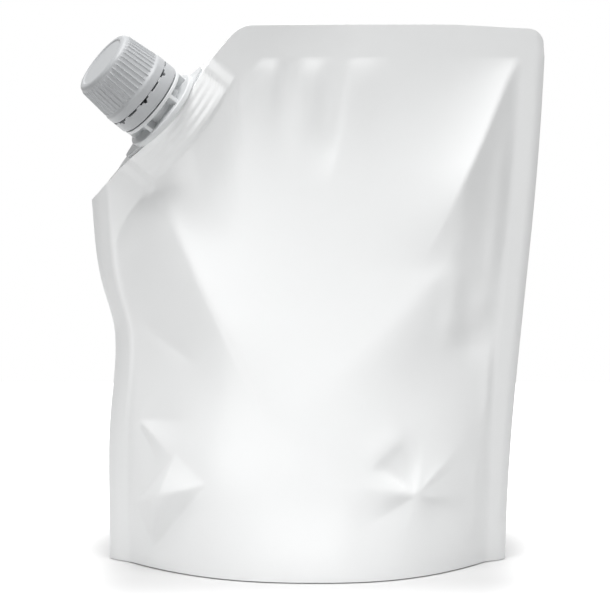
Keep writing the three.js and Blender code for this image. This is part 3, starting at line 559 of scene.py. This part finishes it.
# %% Swell
CORNER_SLOPE, CORNER_ROUND = 1, 5
HIP_ROUND_HIGH, HIP_ROUND_LOW, HIP_HIGH, HIP_LOW = 1.2, 9, 120, 40
FOOT_LOW, FOOT_HIGH = 30, 95
FOLD_FADE, FOLD_KEEP, FOLD_KEEP_ROUND = 3, 0.2, 1
BOAT_BLEND, LEAST_BLEND = 6, 0.001


def tent(x, z, from_left, from_right, from_cut):
    """The unfolded film: the lowest flank or the filled depth, going over to the foot's section."""
    rounding = HIP_ROUND_LOW + (HIP_ROUND_HIGH - HIP_ROUND_LOW) * smoothstep(z, HIP_LOW, HIP_HIGH)
    left, right = flank(from_left, left_slope(z)), flank(from_right, right_slope(z))
    filled = fill_depth(z) + ridges(x, z)
    hips = soft_min(soft_min(left, right, rounding), filled, rounding)
    hips = np.maximum(soft_min(hips, flank(from_cut, CORNER_SLOPE), CORNER_ROUND), 0)
    foot_share = 1 - smoothstep(z, FOOT_LOW, FOOT_HIGH)
    return hips + foot_share * (foot_bulge(x, z) - hips)


def swell(x, z, panel):
    """Half thickness of the bag: the tent with its folds, or the boat where that is higher."""
    from_left, from_right = x - left_weld(z), right_weld(z) - x
    from_cut = inward_from_cut(x, z) - CUT_SEAL
    plain = tent(x, z, from_left, from_right, from_cut)
    nearest = np.minimum(np.minimum(from_left, from_right), from_cut)
    folded = plain + all_folds(x, z, panel) * smoothstep(nearest, 0, FOLD_FADE)
    folded = soft_max(folded, FOLD_KEEP * plain, FOLD_KEEP_ROUND)
    in_seam = smoothstep(x, left_edge(z), left_weld(z))
    boat = boat_swell(along_cut(x, z), inward_from_cut(x, z)) * in_seam
    blend = np.minimum(BOAT_BLEND, (folded + boat) / 2) + LEAST_BLEND
    return SEAL_THICKNESS / 2 + soft_max(folded, boat, blend)


# %% [markdown]
# ## The two panels
# Front and back are tables of points over the film, about one point a millimetre. Each is offset
# from the middle surface by the swell. A Displace modifier could push a plain sheet out by the
# same amount, but it would need that amount as a texture.

# %% Panels
ROWS_PANEL, ROWS_SEAL, SKIRT_LIFT = 170, 26, 0.45
COLUMNS_LEFT_WELD, COLUMNS_CUT, COLUMNS_TOP, COLUMNS_RIGHT_WELD = 10, 62, 100, 14
columns = np.concatenate([
    np.linspace(0, SIDE_SEAL, COLUMNS_LEFT_WELD)[:-1],
    np.linspace(SIDE_SEAL, CUT_WIDTH, COLUMNS_CUT)[:-1],
    np.linspace(CUT_WIDTH, BAG_WIDTH - SIDE_SEAL, COLUMNS_TOP)[:-1],
    BAG_WIDTH - SIDE_SEAL + SIDE_SEAL * np.sin(np.linspace(0, np.pi / 2, COLUMNS_RIGHT_WELD)),
]) - HALF_BAG


def film_places():
    """x and z of every film point: rows up the panel, then up the weld."""
    inner, top = seal_edge(columns), top_edge(columns)
    panel = SKIRT_LIFT + np.linspace(0, 1, ROWS_PANEL + 1)[:, None] * (inner - SKIRT_LIFT)
    weld = inner + np.linspace(0, 1, ROWS_SEAL + 1)[1:, None] * (top - inner)
    z = np.concatenate([panel, weld])
    return film_x(columns[None, :], z), z


def film_sheet(x, z, side, panel):
    """The front (side 1) or back (side -1) panel, offset from the middle surface."""
    middle = np.stack([x, middle_y(x, z), z], axis=-1)
    return middle + side * swell(x, z, panel)[..., None] * middle_normal(x, z)


film_at_x, film_at_z = film_places()
front = film_sheet(film_at_x, film_at_z, 1, FRONT_PANEL)
back = film_sheet(film_at_x, film_at_z, -1, BACK_PANEL)
print("panel points, rows by columns:", film_at_z.shape)

# %% [markdown]
# ## The base, and one closed skin
# Narrow rims close the welded edges, and the base is a sheet that runs from the front skirt, up a
# groove and over the flat foot to the back skirt. Separate objects would do for the camera, but
# one skin has no gaps for light to leak through.

# %% Bag
ROWS_GROOVE, SKIRT_WIDTH, GROOVE_WIDTH, GROOVE_HEIGHT, GROOVE_FULL = 13, 0.8, 8, 4, 14
BAG_SHARP_DEGREES, WELD_TOLERANCE = 60, 1e-6


def base_half(edge, direction):
    """The base from one lower edge inwards: skirt, groove and edge of the foot."""
    in_seam = np.abs(columns) > HALF_BAG - SIDE_SEAL - WELD_TOLERANCE
    share = np.where(in_seam, 0, np.clip(np.abs(edge[:, 1]) / GROOVE_FULL, 0, 1))
    t = np.linspace(0, 1, ROWS_GROOVE)[:, None]
    inward = (SKIRT_WIDTH + GROOVE_WIDTH * t) * share
    height = SKIRT_LIFT * (1 - t * (share > 0)) + GROOVE_HEIGHT * np.sin(np.pi * t) ** 2 * share
    across = np.broadcast_to(edge[:, 0], inward.shape)
    rows = np.stack([across, edge[:, 1] + direction * inward, height], axis=-1)
    return np.concatenate([edge[None], rows])


base = np.concatenate([base_half(front[0], 1), base_half(back[0], -1)[::-1]])
rims = [
    np.stack([front[:, 0], back[:, 0]]),
    np.stack([back[:, -1], front[:, -1]]),
    np.stack([back[-1], front[-1]])[:, ::-1],
]
bag_sheets = [front, back[:, ::-1], base[::-1], *rims]
bag_points, bag_triangles = welded([sheet * MM for sheet in bag_sheets])
bag = new_piece("film_bag", bag_points, bag_triangles, sharp_degrees=BAG_SHARP_DEGREES)
print("film bag:", len(bag_points), "points,", len(bag_triangles), "triangles")

# %% [markdown]
# ## The spout's own frame
# The cap's joint says where the spout's axis starts and where it points. The other two directions
# follow: one along the cut, one to the back. Turned pieces could be made with the Screw modifier
# and then placed, but working in the shared frame leaves every object unturned at the origin.

# %% Spout frame
turn_joint = next(j for j in frame["joints"] if j["name"] == "cap_turn")
spout_start = np.array(turn_joint["pos_m"])
spout_out = np.array(turn_joint["axis"]) / np.linalg.norm(turn_joint["axis"])
spout_along = np.cross([0, 1, 0], spout_out)
spout_along /= np.linalg.norm(spout_along)
spout_behind = np.cross(spout_out, spout_along)


def on_spout(local):
    """Points in the spout's frame, in mm, to the shared frame in metres."""
    return spout_start + (local * MM) @ np.stack([spout_along, spout_behind, spout_out])


def filleted(corners, radii, steps=5):
    """A profile whose corners are rounded by a quadratic curve over the given lengths."""
    corners, radii = np.asarray(corners, float), np.asarray(radii, float)[:, None]
    before, after = np.roll(corners, 1, axis=0) - corners, np.roll(corners, -1, axis=0) - corners
    start = corners + radii * before / np.linalg.norm(before, axis=1, keepdims=True)
    end = corners + radii * after / np.linalg.norm(after, axis=1, keepdims=True)
    t = np.linspace(0, 1, steps)[None, :, None]
    curve = (1 - t) ** 2 * start[:, None] + 2 * t * (1 - t) * corners[:, None] + t**2 * end[:, None]
    return curve.reshape(-1, 2)


def closed(profile):
    """The profile with its first point again at its end."""
    return np.concatenate([profile, profile[:1]])


def turned(profile, around):
    """A closed profile of (radius, height) carried round the spout's axis: a table of points."""
    loop, angle = closed(profile), np.linspace(0, 2 * np.pi, around + 1)
    angle[-1] = 0
    radius, height = loop[:, :1], np.broadcast_to(loop[:, 1:], (len(loop), around + 1))
    return np.stack([radius * np.cos(angle), radius * np.sin(angle), height], axis=-1)


def spout_piece(name, *sheets):
    """One piece from sheets in the spout's frame."""
    points, triangles = welded([on_spout(sheet) for sheet in sheets])
    print(name, "has", len(triangles), "triangles")
    return new_piece(name, points, triangles)


print("spout axis points to", spout_out.round(3))

# %% [markdown]
# ## The spout's heights and radii
# All heights are counted along the spout from the film's edge, and all radii from the bore
# outwards, so that one changed wall or gap moves everything beyond it.

# %% Spout sizes
CLEARANCE, EDGE_GAP = 0.35, 0.5
BORE_RADIUS, NECK_RADIUS, THREAD_RADIUS = 7.6, 9.6, 1
CAP_WALL, GRIP_TAPER, COLLAR_LIP, CAP_ROOF, LINER_THICKNESS = 1.6, 1.3, 0.75, 1.5, 1
LOWER_FLANGE, RAIL_SLOT, UPPER_FLANGE, FLANGE_INSET, FLANGE_LIP = 2.2, 3.3, 1.4, 0.3, 1.7
BAND_HEIGHT, BRIDGE_HEIGHT, COLLAR_HEIGHT, GRIP_HEIGHT = 4.6, 0.3, 3.8, 13.8
CAP_INNER = NECK_RADIUS + THREAD_RADIUS + CLEARANCE
CAP_TOP_RADIUS = CAP_INNER + CAP_WALL
KNURL_FOOT_RADIUS = CAP_TOP_RADIUS + GRIP_TAPER
COLLAR_RADIUS = KNURL_FOOT_RADIUS + COLLAR_LIP
UPPER_FLANGE_RADIUS = COLLAR_RADIUS - FLANGE_INSET
LOWER_FLANGE_RADIUS = UPPER_FLANGE_RADIUS + FLANGE_LIP
lower_flange_top = EDGE_GAP + LOWER_FLANGE
upper_flange_foot = lower_flange_top + RAIL_SLOT
upper_flange_top = upper_flange_foot + UPPER_FLANGE
band_foot = upper_flange_top + CLEARANCE
band_top = band_foot + BAND_HEIGHT
cap_foot = band_top + BRIDGE_HEIGHT + CLEARANCE
collar_top = cap_foot + COLLAR_HEIGHT
cap_top = collar_top + GRIP_HEIGHT
ceiling = cap_top - CAP_ROOF
liner_top = ceiling - CLEARANCE
liner_foot = liner_top - LINER_THICKNESS
mouth = liner_foot - CLEARANCE
print("mouth and cap top in mm:", round(mouth, 2), round(cap_top, 2))

# %% [markdown]
# ## The spout fitment
# One moulding of natural polyethylene. The neck is a profile turned about the axis, with its
# screw thread added as a ridge that climbs with the angle. A separate helix joined by a Boolean
# would do, but raising the points of the neck itself keeps one clean skin.

# %% Neck with its thread
BORE_WALL, AROUND_NECK, NECK_STEP, NECK_TOLERANCE, NEAR_AXIS = 1, 160, 0.35, 0.01, 1
THREAD_PITCH, THREAD_TURNS, THREAD_START, THREAD_FADE, THREAD_SPREAD = 4, 1.5, 0.6, 0.06, 0.5
neck_corners = [
    (NECK_RADIUS, lower_flange_top), (NECK_RADIUS, upper_flange_foot),
    (UPPER_FLANGE_RADIUS, upper_flange_foot), (UPPER_FLANGE_RADIUS, upper_flange_top),
    (NECK_RADIUS, upper_flange_top), (NECK_RADIUS, mouth), (BORE_RADIUS, mouth),
    (BORE_RADIUS, -BOAT_HEIGHT), (BORE_RADIUS + BORE_WALL, -BOAT_HEIGHT),
    (BORE_RADIUS + BORE_WALL, EDGE_GAP),
    (LOWER_FLANGE_RADIUS, EDGE_GAP), (LOWER_FLANGE_RADIUS, lower_flange_top),
]
neck_rounding = [0.3, 0.3, 0.25, 0.35, 0.3, 0.5, 0.4, 0.2, 0.2, 0.2, 0.5, 0.55]


def dense(profile, longest):
    """The same closed profile with extra points at even distances along it."""
    loop = closed(profile)
    travelled = np.append(0, np.cumsum(np.linalg.norm(np.diff(loop, axis=0), axis=1)))
    places = np.union1d(travelled[:-1], np.arange(0, travelled[-1], longest))
    return np.stack([np.interp(places, travelled, loop[:, k]) for k in (0, 1)], axis=1)


def grown(sheet, radius, rise):
    """The sheet with every point moved outwards from the axis by its rise."""
    scale = 1 + rise / np.maximum(radius, NEAR_AXIS)
    return np.stack([sheet[..., 0] * scale, sheet[..., 1] * scale, sheet[..., 2]], axis=-1)


def with_thread(sheet):
    """Raises the outside of the neck along a helix, fading in and out at its two ends."""
    radius = np.hypot(sheet[..., 0], sheet[..., 1])
    turn = np.arctan2(sheet[..., 1], sheet[..., 0]) / (2 * np.pi) % 1
    climbed = (sheet[..., 2] - collar_top - THREAD_START) / THREAD_PITCH
    whole = np.round(climbed - turn)
    off = (climbed - turn - whole) * THREAD_PITCH
    share = (turn + whole) / THREAD_TURNS
    ends = smoothstep(share, 0, THREAD_FADE) * (1 - smoothstep(share, 1 - THREAD_FADE, 1))
    on_neck = np.abs(radius - NECK_RADIUS) < NECK_TOLERANCE
    return grown(sheet, radius, THREAD_RADIUS * ends * bell(off, THREAD_SPREAD) * on_neck)


neck_profile = dense(filleted(neck_corners, neck_rounding), NECK_STEP)
neck_sheet = with_thread(turned(neck_profile, AROUND_NECK))

# %% [markdown]
# ## Webs and weld base
# Six thin plates tie the two flanges of the spout, and below them the boat is a canoe outline
# carried down in ribs. Both are rings of points stacked along the axis, as Extrude would stack
# them, and closed at each end by a fan.

# %% Webs and boat
WEB_COUNT, WEB_THICKNESS, WEB_INNER, WEB_INSET, WEB_SINK = 6, 1.6, 8.6, 0.1, 0.2
BOAT_COLUMNS, BOAT_ROWS, BOAT_SINK, BOAT_THINNEST = 49, 60, 0.5, 0.2
web_rounding = [0.1, 0.35, 0.35, 0.1]


def stacked_rings(ring_rows):
    """Closes a stack of rings (rows, points, 3) with a point in the middle of each end."""
    low = np.broadcast_to(ring_rows[:1].mean(axis=1, keepdims=True), ring_rows[:1].shape)
    high = np.broadcast_to(ring_rows[-1:].mean(axis=1, keepdims=True), ring_rows[-1:].shape)
    return np.concatenate([low, ring_rows, high])


def web_sheet(angle):
    """A plate between the flanges: a rounded rectangle raised along the axis."""
    half, outer = WEB_THICKNESS / 2, UPPER_FLANGE_RADIUS - WEB_INSET
    corners = [(WEB_INNER, -half), (outer, -half), (outer, half), (WEB_INNER, half)]
    ring = closed(filleted(corners, web_rounding))
    x = ring[:, 0] * math.cos(angle) - ring[:, 1] * math.sin(angle)
    y = ring[:, 0] * math.sin(angle) + ring[:, 1] * math.cos(angle)
    heights = np.array([lower_flange_top - WEB_SINK, upper_flange_foot + WEB_SINK])[:, None]
    rows = [np.broadcast_to(a, (2, len(ring))) for a in (x, y, heights)]
    return stacked_rings(np.stack(rows, axis=-1))


def boat_sheet():
    """The canoe outline carried down the boat, drawn in between its ribs."""
    e = -BOAT_LENGTH / 2 * np.cos(np.linspace(0, np.pi, BOAT_COLUMNS))
    near, behind = np.stack([e, boat_hull(e)], 1), np.stack([e, -boat_hull(e)], 1)
    ring = np.concatenate([near, behind[::-1], near[:1]])[::-1]
    height = np.linspace(-BOAT_HEIGHT, EDGE_GAP + BOAT_SINK, BOAT_ROWS)[:, None]
    wave = (1 + np.cos(2 * np.pi * height * BOAT_RIBS / BOAT_HEIGHT)) / 2
    drawn_in = np.abs(ring[:, 1]) - BOAT_RIB_HEIGHT * wave
    thin = np.sign(ring[:, 1]) * np.maximum(drawn_in, BOAT_THINNEST)
    lengthwise, upright = (np.broadcast_to(a, thin.shape) for a in (ring[:, 0], height))
    return stacked_rings(np.stack([lengthwise, thin, upright], axis=-1))


web_angles = np.pi / 2 + (np.arange(WEB_COUNT) + 0.5) * 2 * np.pi / WEB_COUNT
web_sheets = [web_sheet(angle) for angle in web_angles]
fitment = spout_piece("spout_moulding", neck_sheet, boat_sheet(), *web_sheets)

# %% [markdown]
# ## The ribbed cap
# A tapered cap of grey polypropylene with a plain collar. Its grip is 44 thin ridges that run out
# below the rounded rim and above the collar. The cap is again a turned profile, and the ridges
# are a bell curve of the distance to the nearest ridge line.

# %% Cap
KNURL_COUNT, KNURL_HEIGHT, KNURL_SPREAD, KNURL_POINTS = 44, 0.42, 0.17, 12
KNURL_FADE_LOW, KNURL_FADE_HIGH, KNURL_WALL = 0.7, 0.6, 0.4
COLLAR_SLOPE_LOW, COLLAR_SLOPE_HIGH, CAP_EDGE, CAP_STEP, CAP_FILLET_STEPS = 0.9, 0.5, 1.9, 0.9, 7
RECESS_INSET, RECESS_DEPTH, RECESS_SLOPE, AXIS_RADIUS = 2.4, 0.35, 0.5, 0.001
recess_radius, recess_floor = CAP_TOP_RADIUS - RECESS_INSET, cap_top - RECESS_DEPTH
cap_corners = [
    (CAP_INNER, cap_foot), (COLLAR_RADIUS, cap_foot),
    (COLLAR_RADIUS, collar_top - COLLAR_SLOPE_LOW),
    (KNURL_FOOT_RADIUS, collar_top + COLLAR_SLOPE_HIGH), (CAP_TOP_RADIUS, cap_top),
    (recess_radius, cap_top), (recess_radius - RECESS_SLOPE, recess_floor),
    (AXIS_RADIUS, recess_floor), (AXIS_RADIUS, ceiling), (CAP_INNER, ceiling),
]
cap_rounding = [0.15, 0.3, 0.55, 0.8, CAP_EDGE, 0.2, 0.2, 0, 0, 0.4]


def with_ribs(sheet):
    """Raises thin ridges on the grip: a bell across each ridge, faded at its two ends."""
    radius, height = np.hypot(sheet[..., 0], sheet[..., 1]), sheet[..., 2]
    turn = np.arctan2(sheet[..., 1], sheet[..., 0]) * KNURL_COUNT / (2 * np.pi)
    across = (turn - np.round(turn)) * 2 * np.pi * radius / KNURL_COUNT
    rim = cap_top - CAP_EDGE
    ends = smoothstep(height, collar_top, collar_top + KNURL_FADE_LOW)
    ends = ends * (1 - smoothstep(height, rim - KNURL_FADE_HIGH, rim + KNURL_FADE_HIGH))
    outside = radius > CAP_INNER + KNURL_WALL
    return grown(sheet, radius, KNURL_HEIGHT * ends * bell(across, KNURL_SPREAD) * outside)


cap_profile = dense(filleted(cap_corners, cap_rounding, steps=CAP_FILLET_STEPS), CAP_STEP)
cap_sheet = with_ribs(turned(cap_profile, KNURL_COUNT * KNURL_POINTS))
cap = spout_piece("ribbed_cap", cap_sheet)

# %% [markdown]
# ## The tamper band
# The ring under the cap is joined to it by small bridges that break on the first opening. Here
# its upper edge rises and falls round the axis: high at a bridge, low between two, and lowest in
# a few rounded windows. Boolean cuts would do, but each would leave an edge to round again.

# %% Tamper band
BRIDGE_COUNT, BRIDGE_POINTS, BRIDGE_WIDTH, BRIDGE_SLOPE, BRIDGE_GAP = 14, 40, 2.2, 0.1, 0.06
WINDOW_WIDTH, WINDOW_HEIGHT, WINDOW_TURN = 1.6, 0.9, 0.25
BAND_ROOM, HOOK_ROOM, HOOK_HEIGHT, BAND_FILLET_STEPS = 1.95, 0.9, 1.5, 6
band_inner, hook_inner = NECK_RADIUS + BAND_ROOM, NECK_RADIUS + HOOK_ROOM
hook_top = band_foot + HOOK_HEIGHT


def band_edge(angle):
    """Height of the band's upper edge round the axis."""
    period, side = 2 * np.pi / BRIDGE_COUNT, BRIDGE_WIDTH / 2
    off = np.abs((angle / period + 0.5) % 1 - 0.5) * period * COLLAR_RADIUS
    bridge = 1 - smoothstep(off, side - BRIDGE_SLOPE, side + BRIDGE_SLOPE)
    twice = 2 * period
    far = np.abs((angle / twice - WINDOW_TURN + 0.5) % 1 - 0.5) * twice * COLLAR_RADIUS
    window = np.sqrt(np.maximum(1 - (2 * far / WINDOW_WIDTH) ** 2, 0))
    return band_top + bridge * (cap_foot - BRIDGE_GAP - band_top) - WINDOW_HEIGHT * window


band_corners = [
    (hook_inner, band_foot), (COLLAR_RADIUS, band_foot), (COLLAR_RADIUS, band_top),
    (band_inner, band_top), (band_inner, hook_top), (hook_inner, hook_top),
]
band_rounding = [0.2, 0.8, 0.2, 0.2, 0.1, 0.2]
band_profile = filleted(band_corners, band_rounding, steps=BAND_FILLET_STEPS)
band_sheet = turned(band_profile, BRIDGE_COUNT * BRIDGE_POINTS)
edge_height = band_edge(np.arctan2(band_sheet[..., 1], band_sheet[..., 0]))
raised = np.clip((band_sheet[..., 2] - hook_top) / (band_top - hook_top), 0, 1)
band_sheet[..., 2] += raised * (edge_height - band_top)
band = spout_piece("tamper_ring", band_sheet)

# %% [markdown]
# ## The liner
# Inside the cap lies a disc of foam that presses on the mouth. It only shows when the cap is off.
# A cylinder would do; a turned profile gives it soft edges with the helper that is already there.

# %% Liner
LINER_RADIUS, LINER_EDGE, AROUND_LINER = NECK_RADIUS + CLEARANCE, 0.15, 96
liner_corners = [
    (AXIS_RADIUS, liner_foot), (LINER_RADIUS, liner_foot),
    (LINER_RADIUS, liner_top), (AXIS_RADIUS, liner_top),
]
liner_profile = filleted(liner_corners, [0, LINER_EDGE, LINER_EDGE, 0])
liner = spout_piece("foam_liner", turned(liner_profile, AROUND_LINER))

# %% [markdown]
# ## Colours and nodes
# Colours are written as they look on a screen, because that is how they were judged, and one
# function turns them into linear light, which is what the renderer counts in. One helper adds a
# node and fills its sockets, so that the trees below stay short.


# %% Material helpers
def linear(hex_colour):
    """A screen colour as linear light, by the sRGB curve: ((c + 0.055) / 1.055)^2.4 above black."""
    screen = np.array([int(hex_colour[k:k + 2], 16) for k in (1, 3, 5)]) / 255
    light = np.where(screen <= 0.04045, screen / 12.92, ((screen + 0.055) / 1.055) ** 2.4)
    return (*light.tolist(), 1.0)


def node(tree, kind, links=None, **values):
    """Adds one shader node, sets its constant inputs by name and links the others."""
    made = tree.nodes.new(kind)
    for name, value in values.items():
        made.inputs[name.replace("_", " ")].default_value = value
    for name, source in (links or {}).items():
        tree.links.new(source, made.inputs[name])
    return made


def plastic(name, colour, roughness, ior):
    """A material with one principled surface."""
    material = bpy.data.materials.new(name)
    material.use_nodes = True
    surface = material.node_tree.nodes["Principled BSDF"].inputs
    surface["Base Color"].default_value = linear(colour)
    surface["Roughness"].default_value = roughness
    surface["IOR"].default_value = ior
    return material


# %% [markdown]
# ## Materials
# Each finish is one plain plastic: a colour, a roughness and the index of refraction usual for it.
# The film is white and satin, so a broad soft shine shows its folds. The spout is milky, and the
# cap a mid grey with a duller shine. Image textures could add print, but this bag is plain.

# %% Materials
laminate = plastic("white PET PE laminate", "#F4F5F5", 0.3, 1.58)
natural = plastic("natural polyethylene", "#D6D8D9", 0.38, 1.51)
grey_cap = plastic("grey polypropylene", "#B5B7B9", 0.4, 1.49)
foam = plastic("polyethylene foam", "#F2F2EF", 0.7, 1.45)
finishes = {bag: laminate, fitment: natural, cap: grey_cap, band: grey_cap, liner: foam}
for piece, material in finishes.items():
    piece.data.materials.append(material)
print("finishes:", [material.name for material in finishes.values()])

# %% [markdown]
# ## Camera
# A product picture is taken from far off with a long lens, a little above the middle, so that
# upright edges stay upright. A short lens close by would swell the belly.

# %% Camera
CAMERA_DISTANCE, CAMERA_ELEVATION = 1.0, math.radians(8)
CAMERA_SENSOR, CAMERA_LENS = 36, 160
CAMERA_TARGET = np.array([-0.001, 0.0, 0.097])
camera_data = bpy.data.cameras.new("camera")
camera_data.sensor_width = CAMERA_SENSOR
camera_data.lens = CAMERA_LENS
camera = bpy.data.objects.new("camera", camera_data)
bpy.context.scene.collection.objects.link(camera)
camera_side = np.array([0, -math.cos(CAMERA_ELEVATION), math.sin(CAMERA_ELEVATION)])
camera.location = CAMERA_TARGET + CAMERA_DISTANCE * camera_side
camera.rotation_euler = (math.pi / 2 - CAMERA_ELEVATION, 0, 0)
bpy.context.scene.camera = camera
print("camera at", [round(v, 3) for v in camera.location])

# %% [markdown]
# ## Lamps
# White film shows its form by brightness alone. One large soft lamp high above the camera lights
# what faces upwards and lets the flanks fall off to grey. A second one lights the back, and a weak
# low one, close in front, lifts the lower belly as light thrown up by the table does. A picture of
# a room could light it too, but its windows would show in the film as spots.

# %% Lamps
LAMP_TARGET = np.array([0, 0, 0.1])


def soft_lamp(name, direction, distance, width, height, power):
    """An area lamp that shines at the middle of the pouch from that direction."""
    lamp_data = bpy.data.lights.new(name, "AREA")
    lamp_data.shape = "RECTANGLE"
    lamp_data.size, lamp_data.size_y, lamp_data.energy = width, height, power
    lamp = bpy.data.objects.new(name, lamp_data)
    bpy.context.scene.collection.objects.link(lamp)
    azimuth, elevation = (math.radians(v) for v in direction)
    level = math.cos(elevation)
    away = np.array([math.sin(azimuth) * level, -math.cos(azimuth) * level, math.sin(elevation)])
    lamp.location = LAMP_TARGET + distance * away
    lamp.rotation_euler = (math.pi / 2 - elevation, 0, azimuth)
    lamp.visible_camera = False


soft_lamp("top softbox", (0, 75), distance=1.2, width=0.8, height=0.7, power=15.8)
soft_lamp("back softbox", (180, 72), distance=1.2, width=0.5, height=0.5, power=3.2)
soft_lamp("low fill", (-16, -10), distance=0.24, width=0.24, height=0.06, power=0.1)

# %% [markdown]
# ## Floor
# The pouch stands on a white table. It belongs to the picture and not to the part.

# %% Floor
FLOOR_SIZE = 0.8
floor_points = np.array([[-1, -1, 0], [1, -1, 0], [1, 1, 0], [-1, 1, 0]]) * FLOOR_SIZE / 2
floor = new_piece("white table", floor_points, np.array([[0, 1, 2], [0, 2, 3]]))

# %% [markdown]
# ## The table's finish
# Under and close to the base the table is plain matte and keeps the contact shadow. Farther off it
# glows for rays that reach the eye, and so goes over to white with the distance from a rectangle
# a little smaller than the base. So the grey round the base is partly the cast shadow and partly
# painted shade, where the glow is held back. More light could make it white as well, but it would
# also burn out the film.


# %% Table finish
def seen_rays(tree):
    """1 for rays that show this surface to the eye: straight, mirrored or through glass."""
    rays = node(tree, "ShaderNodeLightPath").outputs
    mirrored = node(tree, "ShaderNodeMath", {0: rays["Is Camera Ray"], 1: rays["Is Glossy Ray"]})
    seen = node(tree, "ShaderNodeMath", {0: mirrored.outputs[0], 1: rays["Is Transmission Ray"]})
    mirrored.operation = seen.operation = "MAXIMUM"
    return seen.outputs[0]


def vector_math(tree, operation, vector, constant=None):
    """One step of vector arithmetic on a socket, with a constant vector as its second input."""
    step = node(tree, "ShaderNodeVectorMath", {0: vector})
    step.operation = operation
    if constant:
        step.inputs[1].default_value = constant
    return step


# Painted shadow: round the base the glow is held down to its least, so the table is darker there
# than the lamps alone make it, and it rises to white farther off.
PAINTED_SHADOW_LIFT, PAINTED_SHADOW_HALF, PAINTED_SHADOW_REACH = 0.05, (0.06, 0.024, 0), (0.06, 0.1, 1)
table = bpy.data.materials.new("white table")
table.use_nodes = True
tree = table.node_tree
tree.nodes.clear()
matte = node(tree, "ShaderNodeBsdfDiffuse", Color=linear("#D0D0D0"))
place = node(tree, "ShaderNodeTexCoord").outputs["Object"]
mirrored = vector_math(tree, "ABSOLUTE", place)
past_base = vector_math(tree, "SUBTRACT", mirrored.outputs["Vector"], PAINTED_SHADOW_HALF)
outwards = vector_math(tree, "MAXIMUM", past_base.outputs["Vector"], (0, 0, 0))
shares = vector_math(tree, "DIVIDE", outwards.outputs["Vector"], PAINTED_SHADOW_REACH)
far = vector_math(tree, "LENGTH", shares.outputs["Vector"])
outside = node(tree, "ShaderNodeMapRange", {"Value": far.outputs["Value"]}, To_Min=PAINTED_SHADOW_LIFT)
outside.interpolation_type = "SMOOTHSTEP"
lifted = node(tree, "ShaderNodeMath", {0: seen_rays(tree), 1: outside.outputs["Result"]})
lifted.operation = "MULTIPLY"
glow = node(tree, "ShaderNodeEmission", {"Strength": lifted.outputs["Value"]}, Color=(1, 1, 1, 1))
mixed = node(tree, "ShaderNodeAddShader", {0: matte.outputs["BSDF"], 1: glow.outputs["Emission"]})
node(tree, "ShaderNodeOutputMaterial", {"Surface": mixed.outputs["Shader"]})
floor.data.materials.append(table)

# %% [markdown]
# ## Surroundings
# The eye sees white paper all round, straight or mirrored. For all other rays the world is a dark
# grey, so that the lamps do the lighting. One white world for all rays would be simpler, but the
# flanks of the film would lose their shading.

# %% World
SKY_GREY = 0.22
world = bpy.data.worlds.new("studio")
bpy.context.scene.world = world
world.use_nodes = True
sky = world.node_tree
sky.nodes.clear()
room = node(sky, "ShaderNodeBackground", Color=(1, 1, 1, 1), Strength=SKY_GREY)
white = node(sky, "ShaderNodeBackground", Color=(1, 1, 1, 1), Strength=1.0)
either = node(sky, "ShaderNodeMixShader", {
    0: seen_rays(sky), 1: room.outputs["Background"], 2: white.outputs["Background"],
})
node(sky, "ShaderNodeOutputWorld", {"Surface": either.outputs["Shader"]})
bpy.context.scene.view_settings.view_transform = "Standard"

# %% [markdown]
# ## Hand over
# Each piece says which body it moves with, which part of the model it stands in for, and which
# finish it shows.

# %% Pieces to bodies
for piece, body, node_name, slot in (
    (bag, "pouch", "pouch_bag", "film"),
    (fitment, "pouch", "spout_fitment", "natural_plastic"),
    (band, "pouch", "tamper_band", "cap_plastic"),
    (cap, "cap", "screw_cap", "cap_plastic"),
    (liner, "liner", "cap_liner", "liner_foam"),
):
    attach(piece, body)
    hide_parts(node_name)
